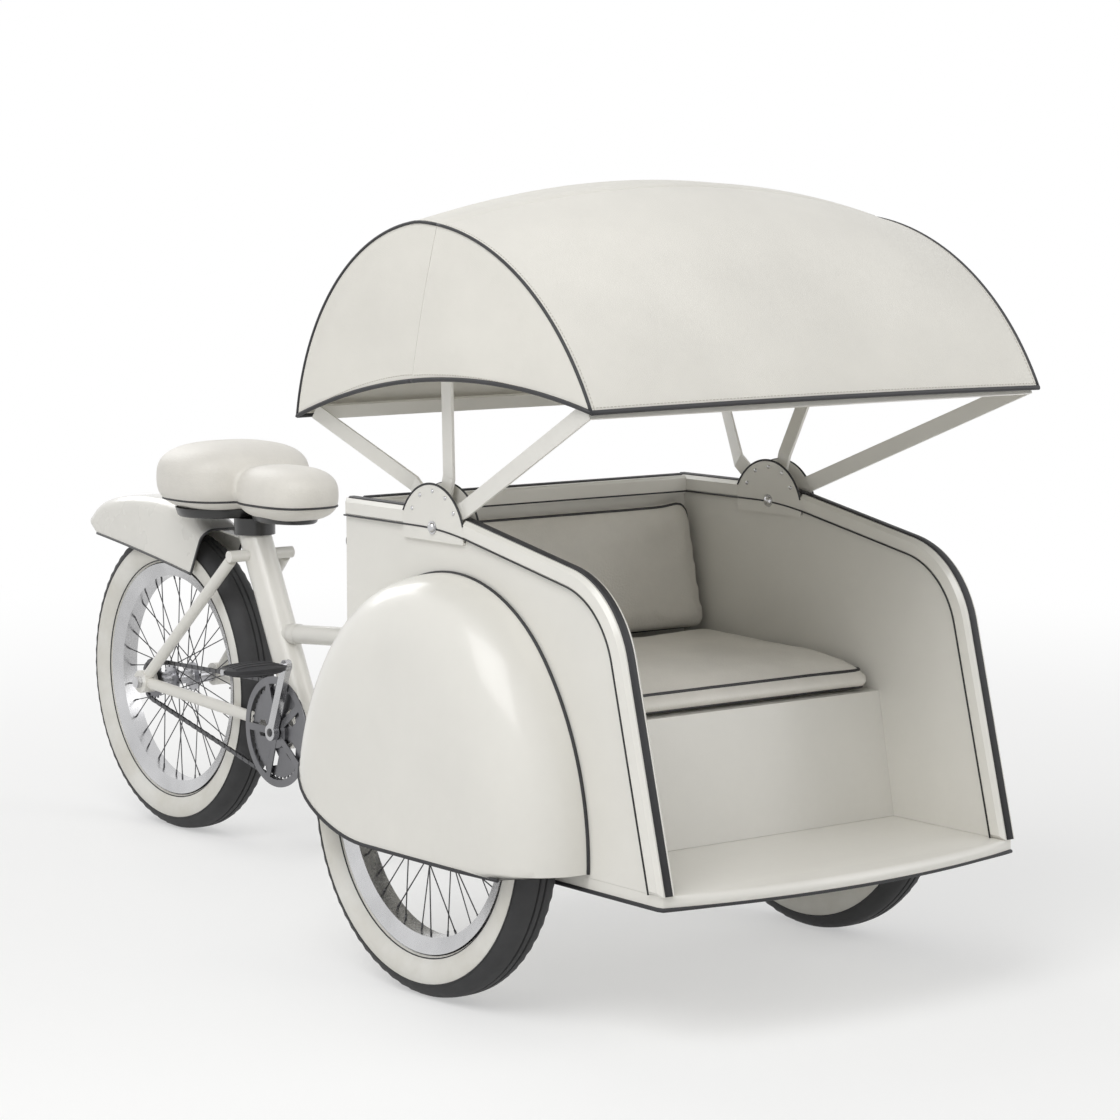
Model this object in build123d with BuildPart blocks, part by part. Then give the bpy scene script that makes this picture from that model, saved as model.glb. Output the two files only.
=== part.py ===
# Three-wheeled cycle rickshaw: a hooded passenger tub between two front wheels, pushed by a bicycle rear half.
# Forward is -Y, the vehicle's left is +X, up is +Z and the ground is Z = 0. All lengths are millimetres.
import os
from math import asin, atan2, cos, degrees, hypot, pi, radians, sin

from build123d import *

os.makedirs("parts", exist_ok=True)

# Wheels
tyre_radius = 350
tyre_width = 90
rim_seat_radius = 268
rim_depth = 30
rim_width = 62
hub_radius = 19
hub_flange_radius = 33
hub_flange_thickness = 4
hub_half_length = 36
spoke_count = 24
spoke_radius = 1.6
spindle_radius = 8
spoke_lean = 35
spoke_edge = 4
rim_spoke_offset = 5
flange_offset = 28
rear_hub_half = 80
axle_beam_size = 36
nut_radius = 14
nut_length = 12

# Clearances
seat_gap = 0.3
running_gap = 0.05
clear_gap = 5
wheel_room = 3

# Tub: floor, sides, back
nose_reach = 665
nose_corner_reach = 612
nose_corner_radius = 60
tub_half_width = 424
panel_thickness = 24
floor_bottom = 253
floor_thickness = 27
tub_rear_reach = 356
rail_top = 897
rail_band = 36
rail_width = 38
rail_edge_radius = 7
crest_reach = 30
shoulder_reach = -474
shoulder_height = 803
shoulder_radius = 200
crest_radius = 900

# Seat
box_foot_reach = -308
box_top_reach = -262
box_height = 520
board_thickness = 18
cushion_height = 72
cushion_nose = 10
back_cushion_foot_reach = 240
back_cushion_top_reach = 300
back_cushion_gap = 8

# Wheel skirts
skirt_top = 785
skirt_bottom = 278
skirt_depth = 150
skirt_crown_radius = 360
skirt_side_radius = 550
skirt_side_angle = 50
skirt_wall = 4
skirt_flat_reach = 90
skirt_turn_reach = 270
skirt_turn_height = 325
skirt_tail_reach = 392
skirt_tail_height = 430

# Hood
pivot_reach = 60
pivot_height = 865
pivot_pin_radius = 6
bow_width = 32
bow_thickness = 6
bow_pitch = 11
bow_tail = 10
stay_seat = 1.3
rear_bow_angle = 36
middle_bow_angle = 106
front_bow_angle = 156.5
rear_bow_reach = 343
middle_bow_reach = 566
front_bow_reach = 641
rear_bow_crown = 2
middle_bow_crown = 70
front_bow_crown = 2
cheek_thickness = 4
cheek_top = 946
notch_depth = 50
notch_half_front = 95
notch_half_rear = 95
canopy_half_width = 535
canopy_wall = 7
canopy_crown = 74
canopy_split_gap = 1

# Rear half
head_reach = 460
head_bottom = 300
head_top = 600
head_radius = 28
kingpin_radius = 15
crank_reach = 1145
crank_height = 300
crank_length = 165
crank_angle = 111
shell_half_length = 60
seat_tube_radius = 36
seat_tube_top_reach = 1352
tyre_gap = 59.777
seat_tube_top = 712
beam_radius = 21
stay_radius = 13
stay_rear_offset = 101
stay_front_offset = 45
stay_top_offset = 70
chain_offset = 75
arm_thickness = 12
arm_root_half = 90
push_bar_height = 800
push_bar_standoff = 90
push_bar_radius = 12.5
push_bar_half = 355
push_bar_post = 210
flange_plate = 4
grip_length = 115
grip_wall = 4
cross_tube_height = 668
upper_beam_front = 560
upper_beam_rear = 500
lower_beam_front = 340
crank_axle_radius = 9
stay_elbow_shift = 4
stay_foot_lift = 4
shell_clear = 56
dropout_radius = 26
dropout_inner = 81
dropout_thickness = 34
tooth_height = 5
sprocket_thickness = 3
sprocket_radius = 42
sprocket_teeth = 18
ring_radius = 104
ring_teeth = 44
chain_height = 9
chain_width = 8
guard_radius = 122
guard_band = 16
crank_clear = 2
crank_thickness = 14
crank_boss_radius = 18
crank_eye_radius = 13
pedal_spindle_radius = 7
pedal_width = 150
pedal_length = 96
pedal_height = 30
collar_radius = 46
saddle_foot = 750
saddle_bevel = 0.34
saddle_seat_lobe = (88, 172, 140, 165)
saddle_nose_lobe = (-117, 92, 150, 128)
mudguard_half = 58
mudguard_reach = 120
strap_drop = 10
strap_depth = 6
guard_wall = 3
guard_front_low = (182, 258)
guard_front_top = (127, 362)
mudguard_side = [
    (-20, 412),
    (150, 410),
    (290, 385),
    (340, 352),
    (285, 315),
    (80, 290),
]

# The rear wheel stands clear of the leaning seat tube by the tyre's gap. The whole rests centred on its own
# length, so every reach below is measured from the front axle.
axle_z = tyre_radius
seat_tube_slope = (seat_tube_top_reach - crank_reach) / (seat_tube_top - crank_height)
wheel_to_tube = tyre_radius + tyre_gap + seat_tube_radius
tube_to_axle = wheel_to_tube * hypot(1, seat_tube_slope)
wheelbase = crank_reach + (axle_z - crank_height) * seat_tube_slope + tube_to_axle
front_axle_y = (nose_reach - wheelbase - tyre_radius) / 2
rear_axle_y = front_axle_y + wheelbase
floor_top = floor_bottom + floor_thickness
floor_seat = floor_top + seat_gap
track_half = tub_half_width + clear_gap + wheel_room + tyre_width / 2


def keep(piece, name):
    """Label a finished piece and write its file."""
    piece.part.label = name
    export_step(piece.part, f"parts/{name}.step")


def at(reach):
    """Distance along the vehicle from the front axle, as a place in the frame."""
    return front_axle_y + reach


def inset_polygon(points, insets):
    """Corners of a closed polygon, listed anticlockwise, with each edge moved inwards by its own inset."""
    lines = []
    for i, (y, z) in enumerate(points):
        next_y, next_z = points[(i + 1) % len(points)]
        length = hypot(next_y - y, next_z - z)
        normal_y, normal_z = (next_z - z) / length, -(next_y - y) / length
        lines.append((normal_y, normal_z, normal_y * y + normal_z * z - insets[i]))
    corners = []
    for i, (a2, b2, c2) in enumerate(lines):
        a1, b1, c1 = lines[i - 1]
        det = a1 * b2 - a2 * b1
        corners.append(((c1 * b2 - c2 * b1) / det, (a1 * c2 - a2 * c1) / det))
    return corners


# Tub side outline in (Y, Z): rear foot, rear top, crest, shoulder, front foot.
side_points = [
    (at(tub_rear_reach), floor_seat),
    (at(tub_rear_reach), rail_top),
    (at(crest_reach), rail_top),
    (at(shoulder_reach), shoulder_height),
    (at(-nose_corner_reach), floor_seat),
]


def side_outline(edge_inset):
    """The closed side outline, with its top and front edges moved in by edge_inset."""
    # rear edge, top edge, sloping edge, front edge, foot
    corners = inset_polygon(side_points, [0, edge_inset, edge_inset, edge_inset, 0])
    radii = [0, 0, crest_radius - edge_inset, shoulder_radius - edge_inset, 0]
    FilletPolyline(*corners, radius=radii, close=True)


# Floor pan: a flat pan whose nose bows forward past the tub's front corners.
with BuildPart() as floor_pan:
    with BuildSketch(Plane.XY.offset(floor_bottom)):
        with BuildLine():
            rear = at(tub_rear_reach)
            corner = at(-nose_corner_reach)
            Polyline(
                (tub_half_width, corner),
                (tub_half_width, rear),
                (-tub_half_width, rear),
                (-tub_half_width, corner),
            )
            ThreePointArc((-tub_half_width, corner), (0, at(-nose_reach)), (tub_half_width, corner))
        make_face()
    extrude(amount=floor_thickness)
    nose_corners = floor_pan.edges().filter_by(Axis.Z).group_by(Axis.Y)[0]
    fillet(nose_corners, nose_corner_radius / 2)
keep(floor_pan, "floor_pan")

# Sides, rails, skirts and hood brackets, one of each on either hand
rail_inner = tub_half_width - panel_thickness / 2 - rail_width / 2
rail_outer = rail_inner + rail_width
axle_boss_radius = 16
notch_floor = pivot_height - bow_width / 2 - clear_gap


def notch_block(centre, gap):
    """The slot in the rail's top where the hood's arms turn, as a block that is gap larger each way."""
    front = at(pivot_reach) - notch_half_front - gap
    rear = at(pivot_reach) + notch_half_rear + gap
    block = Box(
        2 * rail_width,
        rear - front,
        2 * notch_depth,
        align=(Align.CENTER, Align.MIN, Align.MIN),
        mode=Mode.PRIVATE,
    )
    return Pos(centre, front, notch_floor - cheek_thickness - gap) * block


# The skirt's oval: two crown arcs, above and below, that run smoothly into two flank arcs.
skirt_step = skirt_side_radius - skirt_crown_radius
skirt_lean = radians(skirt_side_angle)
skirt_middle_z = skirt_top - skirt_crown_radius - skirt_step * cos(skirt_lean)


def skirt_outline(inset):
    """The smooth oval that the skirt stands on, moved in by inset."""
    rise = skirt_crown_radius - inset
    knee_y = rise * sin(skirt_lean)
    knee_z = rise * cos(skirt_lean) + skirt_step * cos(skirt_lean)
    flank_y = skirt_side_radius - inset - skirt_step * sin(skirt_lean)
    crown_z = rise + skirt_step * cos(skirt_lean)
    # The eight points in turn round the oval, as (Y from the axle, Z from the oval's middle)
    marks = [
        (-knee_y, knee_z),
        (0, crown_z),
        (knee_y, knee_z),
        (flank_y, 0),
        (knee_y, -knee_z),
        (0, -crown_z),
        (-knee_y, -knee_z),
        (-flank_y, 0),
        (-knee_y, knee_z),
    ]
    places = [(front_axle_y + y, skirt_middle_z + z) for y, z in marks]
    for i in (0, 2, 4, 6):
        ThreePointArc(*places[i : i + 3])


# The dome's sections out from the panel, as (share of the depth, inset of the oval)
skirt_sections = [(0, 0), (0.42, 2), (0.72, 16), (0.92, 48), (1.0, 100)]


def skirt_dome(seat, side, wall):
    """The skirt's filled dome on the plane X = seat, with every face but the foot moved in by wall."""
    sections = []
    for share, inset in skirt_sections:
        reach = share * (skirt_depth - wall) - (wall if share == 0 else 0)
        with BuildSketch(Plane.YZ.offset(seat + side * reach)) as section:
            with BuildLine():
                skirt_outline(inset + wall)
            make_face()
        sections.append(section.sketch)
    return loft(sections=sections, ruled=True, mode=Mode.PRIVATE)


for hand, side in (("left", 1), ("right", -1)):
    # Flat side panel, inside the rail's band, with the hole that the axle passes through
    panel_centre = side * (tub_half_width - panel_thickness / 2)
    with BuildPart() as side_panel:
        with BuildSketch(Plane.YZ.offset(panel_centre)):
            with BuildLine():
                side_outline(rail_band + seat_gap)
            make_face()
            with Locations((front_axle_y, axle_z)):
                Circle(axle_boss_radius + seat_gap, mode=Mode.SUBTRACT)
        extrude(amount=panel_thickness / 2, both=True)
        add(notch_block(panel_centre, seat_gap), mode=Mode.SUBTRACT)
    keep(side_panel, f"side_panel_{hand}")

    # Rolled rail that caps the panel's top and front edges down to the floor
    with BuildPart() as edge_rail:
        with BuildSketch(Plane.YZ.offset(panel_centre)):
            with BuildLine():
                side_outline(0)
            make_face()
            with BuildLine():
                side_outline(rail_band)
            make_face(mode=Mode.SUBTRACT)
        extrude(amount=rail_width / 2, both=True)
        flanks = edge_rail.faces().filter_by(Axis.X)
        chamfer(flanks.edges(), rail_edge_radius)
        add(notch_block(panel_centre, seat_gap), mode=Mode.SUBTRACT)
    keep(edge_rail, f"edge_rail_{hand}")

    # Domed wheel skirt, a thin shell on the panel's outer face, open below
    skirt_seat = side * (tub_half_width + seat_gap)
    with BuildPart() as wheel_skirt:
        add(skirt_dome(skirt_seat, side, 0) - skirt_dome(skirt_seat, side, skirt_wall))
        with BuildSketch(Plane.YZ):
            with BuildLine():
                front = at(-skirt_side_radius)
                rear = at(skirt_side_radius)
                flat_end = at(skirt_flat_reach)
                Line((front, skirt_bottom), (flat_end, skirt_bottom))
                ThreePointArc(
                    (flat_end, skirt_bottom),
                    (at(skirt_turn_reach), skirt_turn_height),
                    (at(skirt_tail_reach), skirt_tail_height),
                )
                Polyline(
                    (at(skirt_tail_reach), skirt_tail_height),
                    (rear, skirt_tail_height),
                    (rear, -tyre_radius),
                    (front, -tyre_radius),
                    (front, skirt_bottom),
                )
            make_face()
        extrude(amount=2 * tub_half_width, both=True, mode=Mode.SUBTRACT)
    keep(wheel_skirt, f"wheel_skirt_{hand}")

    # Hood bracket: a channel let into the rail's slot, with two half-moon cheeks and the hood's pivot pin
    slot_front = at(pivot_reach) - notch_half_front
    slot_rear = at(pivot_reach) + notch_half_rear
    slot_foot = notch_floor - cheek_thickness
    cheek_foot = rail_top - rail_edge_radius
    with BuildPart() as hood_bracket:
        with BuildSketch(Plane.YZ.offset(panel_centre)):
            with BuildLine():
                Polyline(
                    (slot_rear, cheek_foot),
                    (slot_rear, slot_foot),
                    (slot_front, slot_foot),
                    (slot_front, cheek_foot - rail_band / 2),
                )
                ThreePointArc(
                    (slot_front, cheek_foot - rail_band / 2),
                    (at(pivot_reach), cheek_top),
                    (slot_rear, cheek_foot),
                )
            make_face()
        extrude(amount=rail_width / 2, both=True)
        with BuildSketch(Plane.YZ.offset(panel_centre)):
            with Locations((at(pivot_reach), notch_floor)):
                Rectangle(
                    3 * notch_half_rear,
                    2 * notch_depth + pivot_height,
                    align=(Align.CENTER, Align.MIN),
                )
        extrude(amount=rail_width / 2 - cheek_thickness, both=True, mode=Mode.SUBTRACT)
        with BuildSketch(Plane.YZ.offset(panel_centre)):
            with Locations((at(pivot_reach), pivot_height)):
                Circle(pivot_pin_radius)
        extrude(amount=rail_width / 2, both=True)
    keep(hood_bracket, f"hood_bracket_{hand}")

# Back panel between the sides, and the rail along its top
back_front = at(tub_rear_reach) - panel_thickness
inside_half = tub_half_width - panel_thickness - seat_gap
with BuildPart() as back_panel:
    with BuildSketch(Plane.XY.offset(floor_seat)):
        with Locations((0, back_front + panel_thickness / 2)):
            Rectangle(2 * inside_half, panel_thickness)
    extrude(amount=rail_top - rail_band - seat_gap - floor_seat)
keep(back_panel, "back_panel")

with BuildPart() as edge_rail_back:
    with BuildSketch(Plane.YZ):
        with BuildLine():
            Polyline(
                (at(tub_rear_reach), rail_top - rail_band),
                (at(tub_rear_reach), rail_top),
                (at(tub_rear_reach) - rail_width, rail_top),
                (at(tub_rear_reach) - rail_width, rail_top - rail_band),
                close=True,
            )
        make_face()
    extrude(amount=rail_inner - seat_gap, both=True)
    fillet(edge_rail_back.edges().filter_by(Axis.X).group_by(Axis.Z)[-1], rail_edge_radius)
keep(edge_rail_back, "edge_rail_back")

# Seat box: a raked front board and the board that the cushion lies on
with BuildPart() as seat_box:
    with BuildSketch(Plane.YZ):
        with BuildLine():
            Polyline(
                (at(box_foot_reach), floor_seat),
                (at(box_top_reach), box_height),
                (back_front - seat_gap, box_height),
                (back_front - seat_gap, box_height - board_thickness),
                (at(box_top_reach) + board_thickness, box_height - board_thickness),
                (at(box_foot_reach) + board_thickness, floor_seat),
                close=True,
            )
        make_face()
    extrude(amount=inside_half, both=True)
keep(seat_box, "seat_box")

# Seat cushion: low rolled nose, crowned top
cushion_half = inside_half - clear_gap
cushion_foot = box_height + seat_gap
cushion_top = box_height + cushion_height
cushion_rear = at(back_cushion_foot_reach)
with BuildPart() as seat_cushion:
    with BuildSketch(Plane.YZ):
        with BuildLine():
            nose = at(box_top_reach) - cushion_nose
            shelf = at(box_top_reach) + 2 * cushion_height
            Line((cushion_rear, cushion_foot), (nose + cushion_nose, cushion_foot))
            ThreePointArc(
                (nose + cushion_nose, cushion_foot),
                (nose, cushion_foot + cushion_height / 4),
                (nose + cushion_nose, cushion_foot + cushion_height / 2),
            )
            ThreePointArc(
                (nose + cushion_nose, cushion_foot + cushion_height / 2),
                ((nose + shelf) / 2, cushion_top - cushion_height / 8),
                (shelf, cushion_top),
            )
            Polyline((shelf, cushion_top), (cushion_rear, cushion_top), (cushion_rear, cushion_foot))
        make_face()
    extrude(amount=cushion_half, both=True)
keep(seat_cushion, "seat_cushion")

# Back cushion: a raked wedge against the back panel
with BuildPart() as back_cushion:
    with BuildSketch(Plane.YZ):
        with BuildLine():
            rear = back_front - seat_gap
            foot = cushion_top + seat_gap
            top = rail_top - rail_band - back_cushion_gap
            Polyline(
                (rear, foot),
                (cushion_rear, foot),
                (at(back_cushion_top_reach), top),
                (rear, top),
                close=True,
            )
        make_face()
    extrude(amount=cushion_half, both=True)
    fillet(back_cushion.edges().filter_by(Axis.X).group_by(Axis.Z)[-1].sort_by(Axis.Y)[0], cushion_nose)
keep(back_cushion, "back_cushion")

# Front axle: a square beam inside the seat box, turned down through the sides to carry the wheels
hub_centre = track_half
hub_inner = hub_centre - hub_half_length
hub_outer = hub_centre + hub_half_length
beam_half = inside_half - seat_gap
with BuildPart() as front_axle:
    with BuildSketch(Plane.YZ):
        with Locations((front_axle_y, axle_z)):
            Rectangle(axle_beam_size, axle_beam_size)
    extrude(amount=beam_half, both=True)
    with BuildSketch(Plane.YZ):
        with Locations((front_axle_y, axle_z)):
            Circle(axle_boss_radius)
    extrude(amount=hub_inner - seat_gap, both=True)
    with BuildSketch(Plane.YZ):
        with Locations((front_axle_y, axle_z)):
            Circle(spindle_radius)
    extrude(amount=hub_outer + seat_gap, both=True)
    for side in (1, -1):
        with BuildSketch(Plane.YZ.offset(side * (hub_outer + seat_gap))):
            with Locations((front_axle_y, axle_z)):
                RegularPolygon(nut_radius, 6)
        extrude(amount=side * nut_length)
keep(front_axle, "front_axle")


def wheel_pieces(centre_x, centre_y, hub_half, name, tail):
    """One wheel's tyre, rim, and hub with its spokes, as three pieces."""
    wheel_plane = Plane(origin=(centre_x, centre_y, axle_z), x_dir=(1, 0, 0), z_dir=(0, -1, 0))
    axle_line = Axis((centre_x, centre_y, axle_z), (1, 0, 0))
    half = tyre_width / 2
    crown = tyre_radius
    waist = tyre_radius - half
    bead = rim_seat_radius
    # Tyre section, right half from the tread to the bead, as (share of half width, radius)
    section = [(0.42, crown), (1.00, waist), (0.54, bead)]
    with BuildPart() as tyre:
        with BuildSketch(wheel_plane):
            with BuildLine():
                right = [(share * half, radius) for share, radius in section]
                left = [(-x, radius) for x, radius in reversed(right)]
                Polyline(*right, *left, close=True)
            make_face()
        revolve(axis=axle_line)
    keep(tyre, f"{name}_tyre{tail}")

    # Rim: a tapered band that the tyre's bead sits on
    with BuildPart() as rim:
        with BuildSketch(wheel_plane):
            with BuildLine():
                lip = rim_width / 2
                seat = bead - seat_gap
                well = bead - rim_depth
                Polyline((lip, seat), (lip * 0.6, well), (-lip * 0.6, well), (-lip, seat), close=True)
            make_face()
        revolve(axis=axle_line)
    keep(rim, f"{name}_rim{tail}")

    # Hub with two flanges, and spokes that lean one way on each flange
    with BuildPart() as hub:
        with BuildSketch(wheel_plane):
            with BuildLine():
                bore = spindle_radius + running_gap
                flange_out = flange_offset + hub_flange_thickness / 2
                flange_in = flange_offset - hub_flange_thickness / 2
                right = [
                    (hub_half, bore),
                    (hub_half, hub_radius * 0.8),
                    (flange_out, hub_flange_radius),
                    (flange_in, hub_flange_radius),
                    (flange_in * 0.8, hub_radius * 0.8),
                ]
                left = [(-x, radius) for x, radius in reversed(right)]
                Polyline(*right, *left, close=True)
            make_face()
        revolve(axis=axle_line)
        reach = rim_seat_radius - rim_depth - seat_gap
        for i in range(spoke_count):
            flange = 1 if i % 2 else -1
            angle = radians(360 / spoke_count * i)
            end_angle = angle + radians(flange * spoke_lean)
            start = Vector(
                centre_x + flange * flange_offset,
                centre_y + (hub_flange_radius - spoke_edge) * cos(angle),
                axle_z + (hub_flange_radius - spoke_edge) * sin(angle),
            )
            end = Vector(
                centre_x + flange * rim_spoke_offset,
                centre_y + reach * cos(end_angle),
                axle_z + reach * sin(end_angle),
            )
            with BuildSketch(Plane(origin=start, z_dir=end - start)):
                RegularPolygon(spoke_radius, 4)
            extrude(amount=(end - start).length)
    keep(hub, f"{name}_hub{tail}")


for hand, side in (("left", 1), ("right", -1)):
    wheel_pieces(side * hub_centre, front_axle_y, hub_half_length, "front", f"_{hand}")
wheel_pieces(0, rear_axle_y, rear_hub_half, "rear", "")


# Hood bows: flat hoops that share one pivot on each side and lie in planes fanned out about it
bow_outer_x = rail_outer - cheek_thickness - 1 - bow_thickness / 2


def bow_plane(angle):
    """The plane of a hood bow, with local X across the vehicle and local Y out from the pivot."""
    lean = radians(angle)
    return Plane(
        origin=(0, at(pivot_reach), pivot_height),
        x_dir=(1, 0, 0),
        z_dir=(0, -sin(lean), cos(lean)),
    )


# Each bow: name, angle up from the rear, reach of its cross bar, rise of the bar, place in the stack, splay's start
bow_splay = canopy_half_width - canopy_wall - seat_gap - bow_thickness / 2 - bow_outer_x
bows = [
    ("rear_bow", rear_bow_angle, rear_bow_reach, rear_bow_crown, 2, 125),
    ("middle_bow", middle_bow_angle, middle_bow_reach, middle_bow_crown, 1, 98),
    ("front_bow", front_bow_angle, front_bow_reach, front_bow_crown, 0, 98),
]
for name, angle, reach, crown, place, straight in bows:
    foot_x = bow_outer_x - place * bow_pitch
    top_x = foot_x + bow_splay
    half = bow_thickness / 2
    with BuildPart() as bow:
        with BuildSketch(bow_plane(angle)):
            for shift, how in ((half, Mode.ADD), (-half, Mode.SUBTRACT)):
                with BuildLine():
                    tail = -bow_tail - (half - shift)
                    right = [
                        (foot_x + shift, tail),
                        (foot_x + shift, straight),
                        (top_x + shift, reach + shift),
                    ]
                    left = [(-x, y) for x, y in right]
                    Polyline(*right)
                    Polyline(*left)
                    ThreePointArc(right[-1], (0, reach + shift + crown), left[-1])
                    Line(right[0], left[0])
                make_face(mode=how)
        extrude(amount=bow_width / 2, both=True)
        with BuildSketch(Plane.YZ):
            with Locations((at(pivot_reach), pivot_height)):
                Circle(pivot_pin_radius + running_gap)
        extrude(amount=rail_outer, both=True, mode=Mode.SUBTRACT)
    keep(bow, name)

# Hood cover: a crowned sheet with flat end panels whose lower edges arch up, in two panels that meet at the middle bow
# Side outline in (reach, Z): rear corner, rear haunch, peak, front haunch, front corner, arch of the lower edge
canopy_side = [(358, 1060), (266, 1268), (-40, 1432), (-372, 1322), (-548, 1118), (-70, 1150)]
canopy_heart = (-90, 1080)


def canopy_section(x, inset, rise):
    """One outline of the hood cover at x, moved in by inset and raised at its peak by rise."""
    shares = [0.05, 0.75, 1, 0.75, 0.05, 0]
    marks = []
    for (reach, z), share in zip(canopy_side, shares):
        away_y, away_z = reach - canopy_heart[0], z + share * rise - canopy_heart[1]
        length = hypot(away_y, away_z)
        pull = 1 - inset / length
        marks.append((at(canopy_heart[0] + away_y * pull), canopy_heart[1] + away_z * pull))
    rear, rear_haunch, peak, front_haunch, front, arch = marks
    with BuildSketch(Plane.YZ.offset(x)) as section:
        with BuildLine():
            ThreePointArc(rear, rear_haunch, peak)
            ThreePointArc(peak, front_haunch, front)
            if inset:
                Polyline(front, (front[0], canopy_floor), (rear[0], canopy_floor), rear)
            else:
                ThreePointArc(front, arch, rear)
        make_face()
    return section.sketch


def canopy_solid(inset):
    """The hood cover's filled form, moved in by inset on every side."""
    half_width = canopy_half_width - inset
    # Each section: share of the half width, share of the crown
    stations = ((-1, 0), (-0.72, 0.48), (-0.38, 0.86), (0, 1), (0.38, 0.86), (0.72, 0.48), (1, 0))
    sections = [canopy_section(x * half_width, inset, rise * canopy_crown) for x, rise in stations]
    return loft(sections=sections, ruled=True, mode=Mode.PRIVATE)


canopy_floor = 1000
with BuildPart() as canopy_whole:
    add(canopy_solid(0) - canopy_solid(canopy_wall))
middle_plane = bow_plane(middle_bow_angle)
for name, shift, kept in (("canopy_front", 1, Keep.TOP), ("canopy_rear", -1, Keep.BOTTOM)):
    with BuildPart() as canopy:
        add(canopy_whole.part)
        split(bisect_by=middle_plane.offset(shift * canopy_split_gap / 2), keep=kept)
    keep(canopy, name)

# Steering head: two arms from the tub's back that hold an upright kingpin
head_y = at(head_reach)
arm_inner_y = at(tub_rear_reach) + seat_gap
with BuildPart() as steering_head:
    for z in (head_bottom - arm_thickness - seat_gap, head_top + seat_gap):
        with BuildSketch(Plane.XY.offset(z)):
            with BuildLine():
                Line((arm_root_half, arm_inner_y), (-arm_root_half, arm_inner_y))
                Line((-arm_root_half, arm_inner_y), (-head_radius, head_y))
                ThreePointArc((-head_radius, head_y), (0, head_y + head_radius), (head_radius, head_y))
                Line((head_radius, head_y), (arm_root_half, arm_inner_y))
            make_face()
        extrude(amount=arm_thickness)
    with BuildSketch(Plane.XY.offset(floor_seat)):
        with Locations((0, arm_inner_y + arm_thickness / 4)):
            Rectangle(2 * arm_root_half, arm_thickness / 2)
    extrude(amount=head_top + arm_thickness + seat_gap - floor_seat)
    with BuildSketch(Plane.XY.offset(head_bottom - arm_thickness)):
        with Locations((0, head_y)):
            Circle(kingpin_radius)
    extrude(amount=head_top - head_bottom + 2 * arm_thickness)
keep(steering_head, "steering_head")

# Push bar behind the tub, with its two grips
bar_z = push_bar_height
bar_y = at(tub_rear_reach) + push_bar_standoff
with BuildPart() as push_bar:
    with BuildSketch(Plane.YZ):
        with Locations((bar_y, bar_z)):
            Circle(push_bar_radius)
    extrude(amount=push_bar_half, both=True)
    for side in (1, -1):
        with BuildSketch(Plane.XZ.offset(-arm_inner_y)):
            with Locations((side * push_bar_post, bar_z)):
                Circle(push_bar_radius * 0.9)
        extrude(amount=-push_bar_standoff)
        with BuildSketch(Plane.XZ.offset(-arm_inner_y)):
            with Locations((side * push_bar_post, bar_z)):
                Circle(2 * push_bar_radius)
        extrude(amount=-flange_plate)
keep(push_bar, "push_bar")

with BuildPart() as push_bar_grips:
    for side in (1, -1):
        with BuildSketch(Plane.YZ.offset(side * (push_bar_half - grip_length))):
            with Locations((bar_y, bar_z)):
                Circle(push_bar_radius + grip_wall)
                Circle(push_bar_radius + running_gap, mode=Mode.SUBTRACT)
        extrude(amount=side * grip_length)
keep(push_bar_grips, "push_bar_grips")

# Main frame: head tube, two beams, crank shell and seat tube with its cross tube
crank_y = at(crank_reach)
seat_top_y = at(seat_tube_top_reach)
cross_share = (cross_tube_height - crank_height) / (seat_tube_top - crank_height)
cross_y = crank_y + (seat_top_y - crank_y) * cross_share
upper_share = (upper_beam_rear - crank_height) / (seat_tube_top - crank_height)
upper_y = crank_y + (seat_top_y - crank_y) * upper_share
with BuildPart() as main_frame:
    # Each tube: start (Y, Z), end (Y, Z), radius
    tubes = [
        ((crank_y, crank_height), (seat_top_y, seat_tube_top), seat_tube_radius),
        ((head_y, lower_beam_front), (crank_y, crank_height), beam_radius),
        ((head_y, upper_beam_front), (upper_y, upper_beam_rear), beam_radius),
    ]
    for (start_y, start_z), (end_y, end_z), radius in tubes:
        start = Vector(0, start_y, start_z)
        run = Vector(0, end_y, end_z) - start
        with BuildSketch(Plane(origin=start, x_dir=(1, 0, 0), z_dir=run)):
            Circle(radius)
        extrude(amount=run.length + radius * (radius == seat_tube_radius))
    split(bisect_by=Plane.XY.offset(seat_tube_top), keep=Keep.BOTTOM)
    with BuildSketch(Plane.YZ):
        with Locations((crank_y, crank_height)):
            Circle(seat_tube_radius + clear_gap)
    extrude(amount=shell_half_length, both=True)
    with BuildSketch(Plane.YZ):
        with Locations((cross_y, cross_tube_height)):
            Circle(stay_radius)
    extrude(amount=stay_top_offset + stay_radius, both=True)
    with BuildSketch(Plane.XY.offset(head_bottom)):
        with Locations((0, head_y)):
            Circle(head_radius)
    extrude(amount=head_top - head_bottom)
    with BuildSketch(Plane.XY.offset(head_bottom)):
        with Locations((0, head_y)):
            Circle(kingpin_radius + running_gap)
    extrude(amount=head_top - head_bottom, mode=Mode.SUBTRACT)
    with BuildSketch(Plane.YZ):
        with Locations((crank_y, crank_height)):
            Circle(crank_axle_radius + running_gap)
    extrude(amount=shell_half_length, both=True, mode=Mode.SUBTRACT)
keep(main_frame, "main_frame")

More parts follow.
